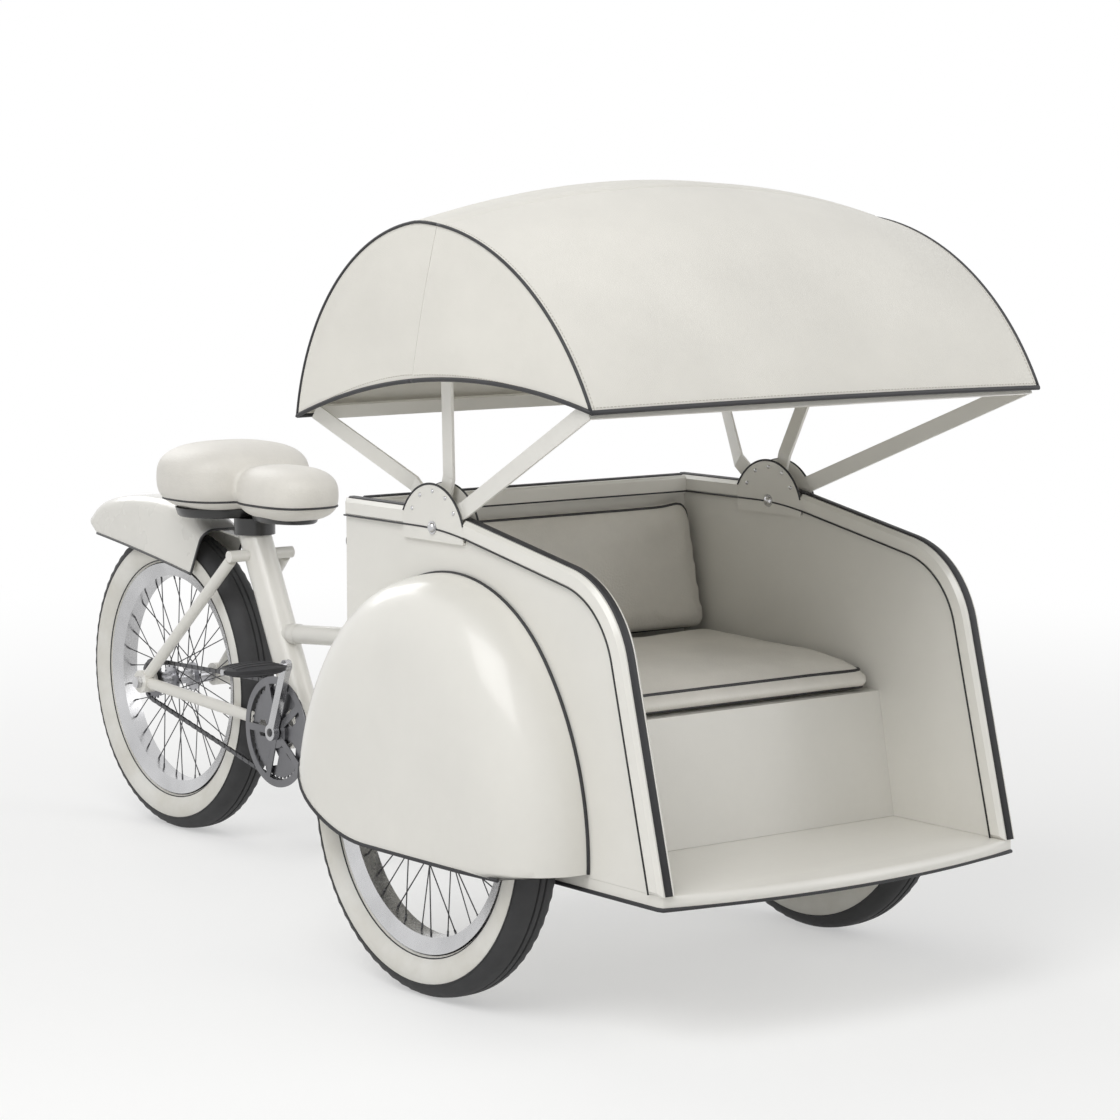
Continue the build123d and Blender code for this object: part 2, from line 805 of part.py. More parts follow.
# Rear stays: a V of two tubes a side, from the cross tube back to the wheel and forward to the crank shell
stay_corner_y = rear_axle_y + stay_elbow_shift
for hand, side in (("left", 1), ("right", -1)):
    cross_end = Vector(side * stay_top_offset, cross_y, cross_tube_height)
    elbow = Vector(side * stay_rear_offset, stay_corner_y, axle_z)
    top = cross_end + (elbow - cross_end).normalized() * (stay_radius + stay_seat)
    foot = Vector(side * stay_front_offset, crank_y + shell_clear, crank_height + stay_foot_lift)
    with BuildPart() as rear_stay:
        for end in (top, foot):
            with BuildSketch(Plane(origin=end, z_dir=elbow - end)):
                Circle(stay_radius)
            extrude(amount=(elbow - end).length)
        with BuildSketch(Plane.YZ.offset(side * dropout_inner)):
            with Locations((rear_axle_y, axle_z)):
                Circle(dropout_radius)
        extrude(amount=side * dropout_thickness)
        with BuildSketch(Plane.YZ):
            with Locations((rear_axle_y, axle_z)):
                Circle(spindle_radius + running_gap)
        extrude(amount=side * 2 * stay_rear_offset, mode=Mode.SUBTRACT)
    keep(rear_stay, f"rear_stay_{hand}")

# Rear axle: a bolt through both stays, with a nut on each end
with BuildPart() as rear_axle:
    nut_face = dropout_inner + dropout_thickness + seat_gap
    with BuildSketch(Plane.YZ):
        with Locations((rear_axle_y, axle_z)):
            Circle(spindle_radius)
    extrude(amount=nut_face, both=True)
    for side in (1, -1):
        with BuildSketch(Plane.YZ.offset(side * nut_face)):
            with Locations((rear_axle_y, axle_z)):
                RegularPolygon(nut_radius, 6)
        extrude(amount=side * nut_length)
keep(rear_axle, "rear_axle")


def toothed_disc(plane_x, centre_y, centre_z, radius, teeth, bore, window_count):
    """A sprocket's outline: a toothed disc with a bore and lightening windows."""
    # Each tooth: (share of the pitch, radius) from one root round its tip to the next root
    profile = [(0.15, radius - tooth_height), (0.4, radius), (0.6, radius), (0.85, radius - tooth_height)]
    marks = []
    for i in range(teeth):
        for share, reach in profile:
            angle = 2 * pi * (i + share) / teeth
            marks.append((centre_y + reach * cos(angle), centre_z + reach * sin(angle)))
    with BuildSketch(Plane.YZ.offset(plane_x)) as disc:
        with BuildLine():
            Polyline(*marks, close=True)
        make_face()
        with Locations((centre_y, centre_z)):
            if window_count:
                with PolarLocations(radius * 0.6, window_count):
                    RegularPolygon(radius * 0.2, 6, mode=Mode.SUBTRACT)
            if bore:
                Circle(bore, mode=Mode.SUBTRACT)
    return disc.sketch


# Chain on the right-hand side, a single loop round the chainring and the rear sprocket
chain_x = -chain_offset
with BuildPart() as sprocket:
    plate_x = chain_x - sprocket_thickness / 2
    teeth = toothed_disc(plate_x, rear_axle_y, axle_z, sprocket_radius, sprocket_teeth, 0, 0)
    extrude(teeth, amount=sprocket_thickness)
    with BuildSketch(Plane.YZ):
        with Locations((rear_axle_y, axle_z)):
            Circle(hub_radius + seat_gap)
    extrude(amount=-2 * chain_offset, mode=Mode.SUBTRACT)
keep(sprocket, "rear_sprocket")

ring_y, ring_z = crank_y, crank_height
reach_y, reach_z = rear_axle_y - ring_y, axle_z - ring_z
run = hypot(reach_y, reach_z)
with BuildPart() as chain:
    for grow, how in ((chain_height, Mode.ADD), (0, Mode.SUBTRACT)):
        ring = ring_radius + seat_gap + grow
        cog = sprocket_radius + seat_gap + grow
        tilt = atan2(reach_z, reach_y)
        wrap = asin((ring - cog) / run)
        upper = tilt + pi / 2 - wrap
        lower = tilt - pi / 2 + wrap
        marks = [
            (ring_y + ring * cos(upper), ring_z + ring * sin(upper)),
            (ring_y - ring * cos(tilt), ring_z - ring * sin(tilt)),
            (ring_y + ring * cos(lower), ring_z + ring * sin(lower)),
            (rear_axle_y + cog * cos(lower), axle_z + cog * sin(lower)),
            (rear_axle_y + cog * cos(tilt), axle_z + cog * sin(tilt)),
            (rear_axle_y + cog * cos(upper), axle_z + cog * sin(upper)),
        ]
        with BuildSketch(Plane.YZ.offset(chain_x - chain_width / 2)):
            with BuildLine():
                ThreePointArc(*marks[0:3])
                Line(marks[2], marks[3])
                ThreePointArc(*marks[3:6])
                Line(marks[5], marks[0])
            make_face()
        extrude(amount=chain_width, mode=how)
keep(chain, "chain")

# Chainring with a guard plate, and the cranks on their axle
with BuildPart() as chainring:
    bore = crank_axle_radius + seat_gap
    teeth = toothed_disc(plate_x, crank_y, crank_height, ring_radius, ring_teeth, bore, 5)
    extrude(teeth, amount=sprocket_thickness)
    with BuildSketch(Plane.YZ.offset(chain_x - chain_width / 2 - 1)):
        with Locations((crank_y, crank_height)):
            Circle(guard_radius)
            Circle(guard_radius - guard_band, mode=Mode.SUBTRACT)
            with PolarLocations(0, 5):
                Rectangle(guard_radius - guard_band / 2, guard_band, align=(Align.MIN, Align.CENTER))
            Circle(crank_axle_radius + seat_gap, mode=Mode.SUBTRACT)
    extrude(amount=-sprocket_thickness)
    with BuildSketch(Plane.YZ.offset(chain_x + sprocket_thickness / 2)):
        with Locations((crank_y, crank_height)):
            Circle(seat_tube_radius)
            Circle(crank_axle_radius + seat_gap, mode=Mode.SUBTRACT)
    extrude(amount=-(sprocket_thickness + chain_width / 2 + 2))
keep(chainring, "chainring")

crank_in = chain_offset + chain_width / 2 + 1 + sprocket_thickness + crank_clear
lean = radians(crank_angle)
with BuildPart() as cranks:
    with BuildSketch(Plane.YZ):
        with Locations((crank_y, crank_height)):
            Circle(crank_axle_radius)
    extrude(amount=crank_in, both=True)
    for side in (1, -1):
        turn = lean if side < 0 else lean + pi
        pedal_y = crank_y + crank_length * cos(turn)
        pedal_z = crank_height + crank_length * sin(turn)
        with BuildSketch(Plane.YZ.offset(side * crank_in)):
            with Locations((crank_y, crank_height)):
                Circle(crank_boss_radius)
            with Locations((pedal_y, pedal_z)):
                Circle(crank_eye_radius)
            with Locations(Location(((crank_y + pedal_y) / 2, (crank_height + pedal_z) / 2), degrees(turn))):
                Rectangle(crank_length, 2 * crank_eye_radius * 0.85)
        extrude(amount=side * crank_thickness)
        with BuildSketch(Plane.YZ.offset(side * crank_in)):
            with Locations((pedal_y, pedal_z)):
                Circle(pedal_spindle_radius)
        extrude(amount=side * (crank_thickness + clear_gap + pedal_width + 2))
keep(cranks, "cranks")

# Pedals: broad blocks that turn on the crank's spindles
for hand, side in (("left", 1), ("right", -1)):
    turn = lean if side < 0 else lean + pi
    pedal_y = crank_y + crank_length * cos(turn)
    pedal_z = crank_height + crank_length * sin(turn)
    with BuildPart() as pedal:
        pedal_in = crank_in + crank_thickness + clear_gap
        with BuildSketch(Plane.XY.offset(pedal_z - pedal_height / 2)):
            with Locations((side * (pedal_in + pedal_width / 2), pedal_y)):
                RectangleRounded(pedal_width, pedal_length, pedal_height)
        extrude(amount=pedal_height)
        with BuildSketch(Plane.YZ):
            with Locations((pedal_y, pedal_z)):
                Circle(pedal_spindle_radius + running_gap)
        extrude(amount=side * (pedal_in + pedal_width), mode=Mode.SUBTRACT)
    keep(pedal, f"pedal_{hand}")

# Saddle: a broad rear lobe and a lower nose lobe, on a collar at the seat tube's top
collar_foot = seat_tube_top + seat_gap
with BuildPart() as saddle_collar:
    with BuildSketch(Plane.XY.offset(collar_foot)):
        with Locations((0, seat_top_y)):
            Circle(collar_radius)
    extrude(amount=saddle_foot - seat_gap - collar_foot)
keep(saddle_collar, "saddle_collar")

# Each lobe: reach of its middle, half width, half length, height
with BuildPart() as saddle:
    for lobe_reach, half_width, half_length, height in (saddle_seat_lobe, saddle_nose_lobe):
        with BuildPart(mode=Mode.PRIVATE) as lobe:
            with BuildSketch(Plane.XY.offset(saddle_foot)):
                with Locations((0, seat_top_y + lobe_reach)):
                    RectangleRounded(2 * half_width, 2 * half_length, min(half_width, half_length) * 0.9)
            extrude(amount=height)
            chamfer(lobe.faces().filter_by(Axis.Z).edges(), height * saddle_bevel)
        add(lobe.part)
keep(saddle, "saddle")

# Mudguard: a deep shell over the rear wheel, open below and in front, with a raised tail and a strap to the frame
with BuildPart() as mudguard:
    for inset, how in ((0, Mode.ADD), (guard_wall, Mode.SUBTRACT)):
        marks = [Vector(rear_axle_y + y, axle_z + z) for y, z in mudguard_side]
        crown_mid, crown_rear, tail_mid, tail, tail_low, belly = marks
        front_low, front_top = [Vector(seat_top_y + y, axle_z + z) for y, z in (guard_front_low, guard_front_top)]
        drop = Vector(0, -inset)
        with BuildPart(mode=Mode.PRIVATE) as shape:
            with BuildSketch(Plane.YZ):
                with BuildLine():
                    ThreePointArc(front_top + drop, crown_mid + drop, crown_rear + drop)
                    ThreePointArc(crown_rear + drop, tail_mid + drop * 1.5, tail + drop * 3)
                    if inset:
                        open_rear = tail_low + Vector(inset * 2, -mudguard_reach)
                        open_front = front_top + Vector(-mudguard_reach, -inset)
                        open_foot = front_low + Vector(-mudguard_reach, -mudguard_reach)
                        Polyline(tail + drop * 3, open_rear, open_foot, open_front, front_top + drop)
                    else:
                        Line(tail, tail_low)
                        ThreePointArc(tail_low, belly, front_low)
                        Line(front_low, front_top)
                make_face()
            extrude(amount=mudguard_half - inset, both=True)
        add(shape.part, mode=how)
    with BuildSketch(Plane.YZ):
        with BuildLine():
            tube_slope = (seat_top_y - crank_y) / (seat_tube_top - crank_height)
            strap_z = seat_tube_top - strap_drop
            tube_rear = seat_tube_radius * hypot(1, tube_slope) + seat_gap + crank_y
            strap_top = guard_front_top[1] + axle_z
            Polyline(
                (tube_rear + (strap_z - crank_height) * tube_slope, strap_z),
                (tube_rear + (strap_z - strap_depth - crank_height) * tube_slope, strap_z - strap_depth),
                (front_top.X + mudguard_half, strap_top),
                (front_top.X + mudguard_half / 2, strap_top + guard_wall),
                close=True,
            )
        make_face()
    extrude(amount=bow_width / 2, both=True)
keep(mudguard, "mudguard")
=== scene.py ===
from math import atan2, cos, degrees, hypot, pi, radians, sin, sqrt, tan

import bmesh
import bpy
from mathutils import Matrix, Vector


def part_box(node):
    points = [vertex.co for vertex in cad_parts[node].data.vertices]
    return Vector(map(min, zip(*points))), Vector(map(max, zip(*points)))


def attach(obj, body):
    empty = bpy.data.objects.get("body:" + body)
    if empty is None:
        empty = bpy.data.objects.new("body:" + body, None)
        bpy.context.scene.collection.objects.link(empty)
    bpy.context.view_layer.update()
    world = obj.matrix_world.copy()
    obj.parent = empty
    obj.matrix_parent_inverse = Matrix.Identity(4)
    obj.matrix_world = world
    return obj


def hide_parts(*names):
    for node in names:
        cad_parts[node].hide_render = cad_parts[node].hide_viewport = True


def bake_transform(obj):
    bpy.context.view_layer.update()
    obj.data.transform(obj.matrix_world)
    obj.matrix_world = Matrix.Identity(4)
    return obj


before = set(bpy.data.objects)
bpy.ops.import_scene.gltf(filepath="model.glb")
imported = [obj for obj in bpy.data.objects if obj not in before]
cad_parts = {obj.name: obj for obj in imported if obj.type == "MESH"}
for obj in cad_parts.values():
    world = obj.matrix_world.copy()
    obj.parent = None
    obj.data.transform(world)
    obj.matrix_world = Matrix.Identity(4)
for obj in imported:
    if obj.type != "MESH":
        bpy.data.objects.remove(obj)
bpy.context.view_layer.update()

# Camera: a long lens, low and off the vehicle's right front, as the drawing is seen. It is level from side to
# side and looks a little down.
camera_data = bpy.data.cameras.new("camera")
camera_data.sensor_fit = "HORIZONTAL"
camera_data.sensor_width = 36
camera_data.lens = 110.15
camera_data.clip_end = 100
camera = bpy.data.objects.new("camera", camera_data)
bpy.context.scene.collection.objects.link(camera)
camera.location = (-4.095, -5.775, 1.547)
turn, drop = radians(37.53), radians(6.70)
view_line = Vector((sin(turn) * cos(drop), cos(turn) * cos(drop), -sin(drop)))
camera.rotation_euler = view_line.to_track_quat("-Z", "Y").to_euler()
bpy.context.scene.camera = camera

# Floor and light: a white studio sweep under a broad soft lamp high on the left, with a weaker lamp on the
# right and one behind. The camera and every gloss see the sweep as white, and the object is lit at a plain
# level.
scene = bpy.context.scene
scene.view_settings.view_transform = "Standard"
white = (1, 1, 1, 1)
world_level = 0.42
floor_size, floor_white = 60, (0.93, 0.93, 0.92, 1)
glow_run = {"From Min": 1.2, "From Max": 5.5, "To Min": 0.45, "To Max": 1.0}
lamp_aim = Vector((0, -0.3, 0.6))


def fill_inputs(tree, node, inputs):
    """Set a node's inputs, each to a value or to another node's output."""
    for key, value in inputs.items():
        if isinstance(value, bpy.types.NodeSocket):
            tree.links.new(value, node.inputs[key])
        else:
            node.inputs[key].default_value = value


def add_node(tree, kind, inputs, **settings):
    """A new shader node with its settings and its inputs."""
    made = tree.nodes.new(f"ShaderNode{kind}")
    for key, value in settings.items():
        setattr(made, key, value)
    fill_inputs(tree, made, inputs)
    return made


def worked_out(tree, operation, first, second):
    """The outcome of a sum on two values."""
    return add_node(tree, "Math", {0: first, 1: second}, operation=operation).outputs[0]


def sweep_seen(tree):
    """1 for a ray from the camera, off a gloss or through glass, which all see the white sweep, else 0."""
    ray = add_node(tree, "LightPath", {}).outputs
    seen = worked_out(tree, "MAXIMUM", ray["Is Camera Ray"], ray["Is Glossy Ray"])
    return worked_out(tree, "MAXIMUM", seen, ray["Is Transmission Ray"])


def end_in_sweep(tree, share, lit, sweep, output):
    """Send the sweep's white to the output by its share, and the lit surface for the rest."""
    mix = add_node(tree, "MixShader", {0: share, 1: lit.outputs[0], 2: sweep.outputs[0]})
    tree.links.new(mix.outputs[0], tree.nodes[output].inputs[0])


def new_finish(name):
    """A new material with a node that gives each point's place in the object's own space."""
    made = bpy.data.materials.new(name)
    made.use_nodes = True
    add_node(made.node_tree, "TexCoord", {}, name="place")
    return made


def place_in(finish):
    """The output of a finish that gives each point's place."""
    return finish.node_tree.nodes["place"].outputs["Object"]


def shader_of(finish):
    """The shader of a finish."""
    return finish.node_tree.nodes["Principled BSDF"]


def set_shader(finish, inputs):
    """Set inputs of a finish's shader."""
    fill_inputs(finish.node_tree, shader_of(finish), inputs)


world = bpy.data.worlds.new("studio")
world.use_nodes = True
scene.world = world
sky = world.node_tree
fill_inputs(sky, sky.nodes["Background"], {"Color": white, "Strength": world_level})
sky_sweep = add_node(sky, "Background", {"Color": white, "Strength": 1.0})
end_in_sweep(sky, sweep_seen(sky), sky.nodes["Background"], sky_sweep, "World Output")

bpy.ops.mesh.primitive_plane_add(size=floor_size, location=(0, 0, 0))
floor = bpy.context.object
floor.name = "floor"
floor_finish = new_finish("floor_white")
set_shader(floor_finish, {"Base Color": floor_white, "Roughness": 0.9})
ground = floor_finish.node_tree
floor_reach = add_node(ground, "VectorMath", {0: place_in(floor_finish)}, operation="LENGTH").outputs["Value"]
glow_fade = add_node(ground, "MapRange", {"Value": floor_reach, **glow_run}, interpolation_type="SMOOTHSTEP")
glow_share = worked_out(ground, "MULTIPLY", sweep_seen(ground), glow_fade.outputs["Result"])
floor_glow = add_node(ground, "Emission", {"Color": white})
end_in_sweep(ground, glow_share, shader_of(floor_finish), floor_glow, "Material Output")
floor.data.materials.append(floor_finish)

for lamp_name, place, size, power in (
    ("key_lamp", (-3.6, -2.2, 5.2), 4.0, 190),
    ("fill_lamp", (4.5, -4.5, 3.2), 4.0, 70),
    ("rim_lamp", (0.5, 5.5, 4.0), 3.0, 80),
):
    lamp_data = bpy.data.lights.new(lamp_name, "AREA")
    lamp_data.size = size
    lamp_data.energy = power
    lamp = bpy.data.objects.new(lamp_name, lamp_data)
    scene.collection.objects.link(lamp)
    lamp.location = place
    lamp.rotation_euler = (lamp_aim - Vector(place)).to_track_quat("-Z", "Y").to_euler()

# Floor pan: a steel pressing at the bottom of the tub, with a rolled nose and a black rubber strip folded
# over its edge. The tub's side and back panels and its seat box are sheet steel, sprayed the same ivory.
ivory = (0.80, 0.785, 0.735)
road_dust = (0.36, 0.31, 0.24, 1)
axle_y = -0.677
half_tub, tub_rear = 0.424, axle_y + 0.354
nose_corner, nose_tip = axle_y - 0.612, axle_y - 0.6647
nose_start = (half_tub - 0.004, nose_corner + 0.006)
edge_step, nose_steps = 0.05, 48
roll_radius, roll_layers, roll_height = 0.0133, 12, 0.2666
roll_start, roll_run = nose_corner + 0.004, 0.022
strip_share, strip_height, strip_radius = 0.40, 0.2562, 0.0040


def noise(finish, scale, detail=2.0, roughness=0.5):
    """A cloudy pattern through a finish."""
    inputs = {"Vector": place_in(finish), "Scale": scale, "Detail": detail, "Roughness": roughness}
    return add_node(finish.node_tree, "TexNoise", inputs).outputs["Fac"]


def toned(finish, pattern, low, high):
    """A colour that runs from low to high as a pattern goes from 0.3 to 0.7."""
    ramp = add_node(finish.node_tree, "ValToRGB", {0: pattern})
    for stop, position, colour in zip(ramp.color_ramp.elements, (0.3, 0.7), (low, high)):
        stop.position = position
        stop.color = (*colour, 1)
    return ramp.outputs[0]


def shade(colour, share):
    """The colour made darker or lighter by a share."""
    return tuple(min(1, c * share) for c in colour)


def glossed(finish, pattern, low, high):
    """Let a finish's roughness run from low to high with a pattern."""
    spread = add_node(finish.node_tree, "MapRange", {"Value": pattern, "To Min": low, "To Max": high})
    set_shader(finish, {"Roughness": spread.outputs["Result"]})


def embossed(finish, pattern, strength, distance):
    """Raise a finish's surface by a pattern, over a distance in metres."""
    bump = add_node(finish.node_tree, "Bump", {"Height": pattern, "Strength": strength, "Distance": distance})
    set_shader(finish, {"Normal": bump.outputs["Normal"]})


def enamel(name, colour, roughness=0.32, dust=0.10):
    """Sprayed enamel: a faint orange peel, soft patches in its gloss, and road dust towards the ground."""
    paint = new_finish(name)
    tree = paint.node_tree
    patches = noise(paint, 5.0, 4.0, 0.6)
    tone = toned(paint, patches, shade(colour, 0.97), shade(colour, 1.015))
    height = add_node(tree, "SeparateXYZ", {0: place_in(paint)}).outputs["Z"]
    settling = {"Value": height, "From Min": 0.55, "From Max": 0.05, "To Min": 0.0, "To Max": dust}
    low_down = add_node(tree, "MapRange", settling).outputs["Result"]
    amount = worked_out(tree, "MULTIPLY", low_down, noise(paint, 60.0, 3.0))
    dusty = add_node(tree, "Mix", {"Factor": amount, 6: tone, 7: road_dust}, data_type="RGBA")
    set_shader(paint, {"Base Color": dusty.outputs[2], "Coat Weight": 0.35, "Coat Roughness": 0.12})
    glossed(paint, patches, roughness * 0.9, roughness * 1.2)
    embossed(paint, noise(paint, 420.0), 0.1, 0.0006)
    return paint


def soft_black(name, colour=(0.018, 0.018, 0.02), roughness=0.55, grain=260.0):
    """Black rubber or vinyl: a fine matt grain with dusty, slightly paler patches."""
    rubber = new_finish(name)
    patches = noise(rubber, 14.0, 5.0, 0.6)
    set_shader(rubber, {"Base Color": toned(rubber, patches, colour, shade(colour, 1.9))})
    glossed(rubber, patches, roughness * 0.85, roughness * 1.3)
    embossed(rubber, noise(rubber, grain, 3.0), 0.25, 0.0008)
    return rubber


def mesh_piece(name, points, faces, smooth=True):
    """A new mesh object from points and faces, its normals pointing outwards."""
    mesh = bpy.data.meshes.new(name)
    mesh.from_pydata([tuple(p) for p in points], [], faces)
    work = bmesh.new()
    work.from_mesh(mesh)
    bmesh.ops.remove_doubles(work, verts=work.verts, dist=1e-6)
    bmesh.ops.recalc_face_normals(work, faces=work.faces)
    work.to_mesh(mesh)
    work.free()
    for face in mesh.polygons:
        face.use_smooth = smooth
    made = bpy.data.objects.new(name, mesh)
    scene.collection.objects.link(made)
    return made


def creased(piece, angle):
    """Give a smooth piece a crisp edge wherever its faces meet at more than an angle in degrees."""
    piece.data.set_sharp_from_angle(angle=radians(angle))
    return piece


def grid_faces(rows, columns, loop_rows=False, loop_columns=False):
    """The quads of a grid whose points run column by column within each row."""
    faces = []
    for i in range(rows if loop_rows else rows - 1):
        for j in range(columns if loop_columns else columns - 1):
            here, next_row = i * columns, (i + 1) % rows * columns
            beside = (j + 1) % columns
            faces.append((here + j, here + beside, next_row + beside, next_row + j))
    return faces


def tube_faces(rows, sides, capped=(True, True)):
    """The faces of a tube of rings, with a cap at either end."""
    faces = grid_faces(rows, sides, loop_columns=True)
    for end, closed in zip((0, rows - 1), capped):
        if closed:
            faces.append(tuple(range(end * sides, (end + 1) * sides)))
    return faces


def swept(name, path, outline, closed=False, up=(0, 0, 1)):
    """A flat outline of (sideways, upwards) points carried along a path."""
    path = [Vector(p) for p in path]
    count, sides = len(path), len(outline)
    points = []
    aside = None
    for i, place in enumerate(path):
        before = path[i - 1] if i or closed else place
        after = path[(i + 1) % count] if i < count - 1 or closed else place
        along = (after - before).normalized()
        if aside is None:
            aside = along.cross(Vector(up)).normalized()
        aside = (aside - along * aside.dot(along)).normalized()
        over = aside.cross(along)
        points += [place + aside * x + over * y for x, y in outline]
    faces = tube_faces(count, sides)
    if closed:
        faces = grid_faces(count, sides, loop_rows=True, loop_columns=True)
    return mesh_piece(name, points, faces)


def circle(count):
    """The cosine and sine of evenly spaced angles all round."""
    return [(cos(2 * pi * i / count), sin(2 * pi * i / count)) for i in range(count)]


def ring(radius, sides=8):
    """A round outline for swept."""
    return [(radius * c, radius * s) for c, s in circle(sides)]


def arc_points(first, middle, last, count):
    """Points along the circle arc through three places."""
    (ax, ay), (bx, by), (cx, cy) = first, middle, last
    a, b, c = ax * ax + ay * ay, bx * bx + by * by, cx * cx + cy * cy
    d = 2 * (ax * (by - cy) + bx * (cy - ay) + cx * (ay - by))
    ux = (a * (by - cy) + b * (cy - ay) + c * (ay - by)) / d
    uy = (a * (cx - bx) + b * (ax - cx) + c * (bx - ax)) / d
    radius = hypot(ax - ux, ay - uy)
    start, mid, end = (atan2(y - uy, x - ux) for x, y in (first, middle, last))
    sweep = (end - start) % (2 * pi)
    if (mid - start) % (2 * pi) > sweep:
        sweep -= 2 * pi
    angles = [start + sweep * i / count for i in range(count + 1)]
    return [(ux + radius * cos(angle), uy + radius * sin(angle)) for angle in angles]


def dress(piece, body, finish, slot_name, *nodes):
    """Give a new piece its finish and its body, and hide the CAD nodes that it stands for."""
    piece.data.materials.append(finish)
    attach(piece, body)
    if nodes:
        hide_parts(*nodes)
    return piece


def run_strip(name, path, section, dressing, **laid):
    """Lay a strip of one section along a path; its dressing is a body, a finish and a slot name, which is not
    used.
    """
    return dress(swept(name, path, section, **laid), *dressing)


def refinish(node_names, finish, corner=32):
    """Give carried-over CAD nodes a finish, and smooth shading with crisp corners."""
    for node_name in node_names:
        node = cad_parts[node_name]
        node.data.materials.clear()
        node.data.materials.append(finish)
        for face in node.data.polygons:
            face.use_smooth = True
        creased(node, corner)


def pan_layer(share):
    """The pan's outline drawn in at its nose by a share of the roll's radius."""
    layer = []
    for i, (x, y) in enumerate(pan_edge):
        ahead, behind = pan_edge[min(i + 1, len(pan_edge) - 1)], pan_edge[max(i - 1, 0)]
        along = Vector((ahead[0] - behind[0], ahead[1] - behind[1])).normalized()
        inward = Vector((-along.y, along.x))
        if inward.dot(pan_heart - Vector((x, y))) < 0:
            inward.negate()
        at_nose = min(1, max(0, (roll_start - y) / roll_run))
        layer.append(Vector((x, y)) + inward * roll_radius * share * at_nose)
    return layer


body_enamel = enamel("ivory_enamel", ivory)
trim_rubber = soft_black("edge_rubber")
on_tub = ("cabin", trim_rubber, "black_metal")
refinish(["side_panel_left", "side_panel_right", "back_panel", "seat_box"], body_enamel)
side_edge = [(half_tub, tub_rear)] + [(half_tub, nose_corner + edge_step * i) for i in range(18, 0, -1)]
side_edge.append((half_tub - 0.0003, nose_corner + 0.018))
nose_edge = arc_points(nose_start, (0, nose_tip), (-nose_start[0], nose_start[1]), nose_steps)
pan_edge = side_edge + nose_edge + [(-x, y) for x, y in reversed(side_edge)]
pan_heart = Vector((0, axle_y - 0.30))
pan_points = []
for k in range(roll_layers + 1):
    lift = -pi / 2 + pi * k / roll_layers
    height = roll_height + roll_radius * sin(lift)
    pan_points += [(spot.x, spot.y, height) for spot in pan_layer(1 - cos(lift))]
pan = mesh_piece("floor_pan_pressing", pan_points, tube_faces(roll_layers + 1, len(pan_edge)))
dress(creased(pan, 35), "cabin", body_enamel, "body_paint", "floor_pan")
strip_line = [(spot.x, spot.y, strip_height) for spot in pan_layer(strip_share)]
run_strip("floor_edge", strip_line, ring(strip_radius), on_tub)

# Edge rails: a rolled steel cap along the top and front of each side, and across the back. A black rubber
# moulding is pressed into a groove along its crown, and a thin painted line marks where the cap ends on the
# panel.
hands = (("left", 1), ("right", -1))
rail_middle, rail_top, rail_rear = 0.412, 0.897, axle_y + 0.3535
rail_faces = (("outer", 0.4311), ("inner", 0.3929))
cap_depth, cap_line = 0.0325, ring(0.0017)
crest_bend, shoulder_bend = 0.900, 0.200
back_y, back_face_y, back_half = axle_y + 0.337, axle_y + 0.3178, 0.392
moulding = [(-0.008, -0.0005), (-0.008, 0.0018), (-0.005, 0.0034)]
moulding += [(-x, z) for x, z in reversed(moulding)]


def rounded_line(corners, radii, steps=20):
    """Points along a bent line whose inner corners are rounded to the given radii."""
    points = [corners[0]]
    for i in range(1, len(corners) - 1):
        corner, radius = Vector(corners[i]), radii[i - 1]
        back = (Vector(corners[i - 1]) - corner).normalized()
        ahead = (Vector(corners[i + 1]) - corner).normalized()
        half = back.angle(ahead) / 2
        reach = radius / tan(half)
        centre = corner + (back + ahead).normalized() * radius / sin(half)
        first, last = corner + back * reach - centre, corner + ahead * reach - centre
        for k in range(steps + 1):
            points.append(tuple(centre + first.lerp(last, k / steps).normalized() * radius))
    points.append(corners[-1])
    return points


def side_line(inset):
    """The side's top and front edge as (y, z) points, moved in by inset."""
    crest = (axle_y + 0.030, rail_top)
    shoulder = (axle_y - 0.474, 0.803)
    foot = (axle_y - 0.612, 0.2803)
    fall = atan2(crest[1] - shoulder[1], crest[0] - shoulder[0])
    lean = atan2(shoulder[1] - foot[1], shoulder[0] - foot[0])
    bisector = (lean + fall) / 2 + pi / 2
    reach = inset / cos((lean - fall) / 2)
    corners = [
        (rail_rear, rail_top - inset),
        (crest[0] - inset * tan(fall / 2), rail_top - inset),
        (shoulder[0] - reach * cos(bisector), shoulder[1] - reach * sin(bisector)),
        (foot[0] + inset / sin(lean), foot[1]),
    ]
    return rounded_line(corners, [crest_bend - inset, shoulder_bend - inset])


rail_enamel = enamel("rail_enamel", shade(ivory, 1.04), roughness=0.24, dust=0.06)
refinish(["edge_rail_left", "edge_rail_right", "edge_rail_back"], rail_enamel, corner=12)
for hand, side in hands:
    crown_line = [(side * rail_middle, y, z) for y, z in side_line(0)]
    run_strip(f"rail_moulding_{hand}", crown_line, moulding, on_tub)
    for face_name, face_x in rail_faces:
        cap_end = [(side * face_x, y, z) for y, z in side_line(cap_depth)]
        run_strip(f"rail_line_{face_name}_{hand}", cap_end, cap_line, on_tub)
for strip_name, y, z, section in (
    ("moulding", back_y, rail_top, moulding),
    ("line", back_face_y, rail_top - cap_depth, cap_line),
):
    run_strip(f"rail_{strip_name}_back", [(x, y, z) for x in (-back_half, 0, back_half)], section, on_tub)

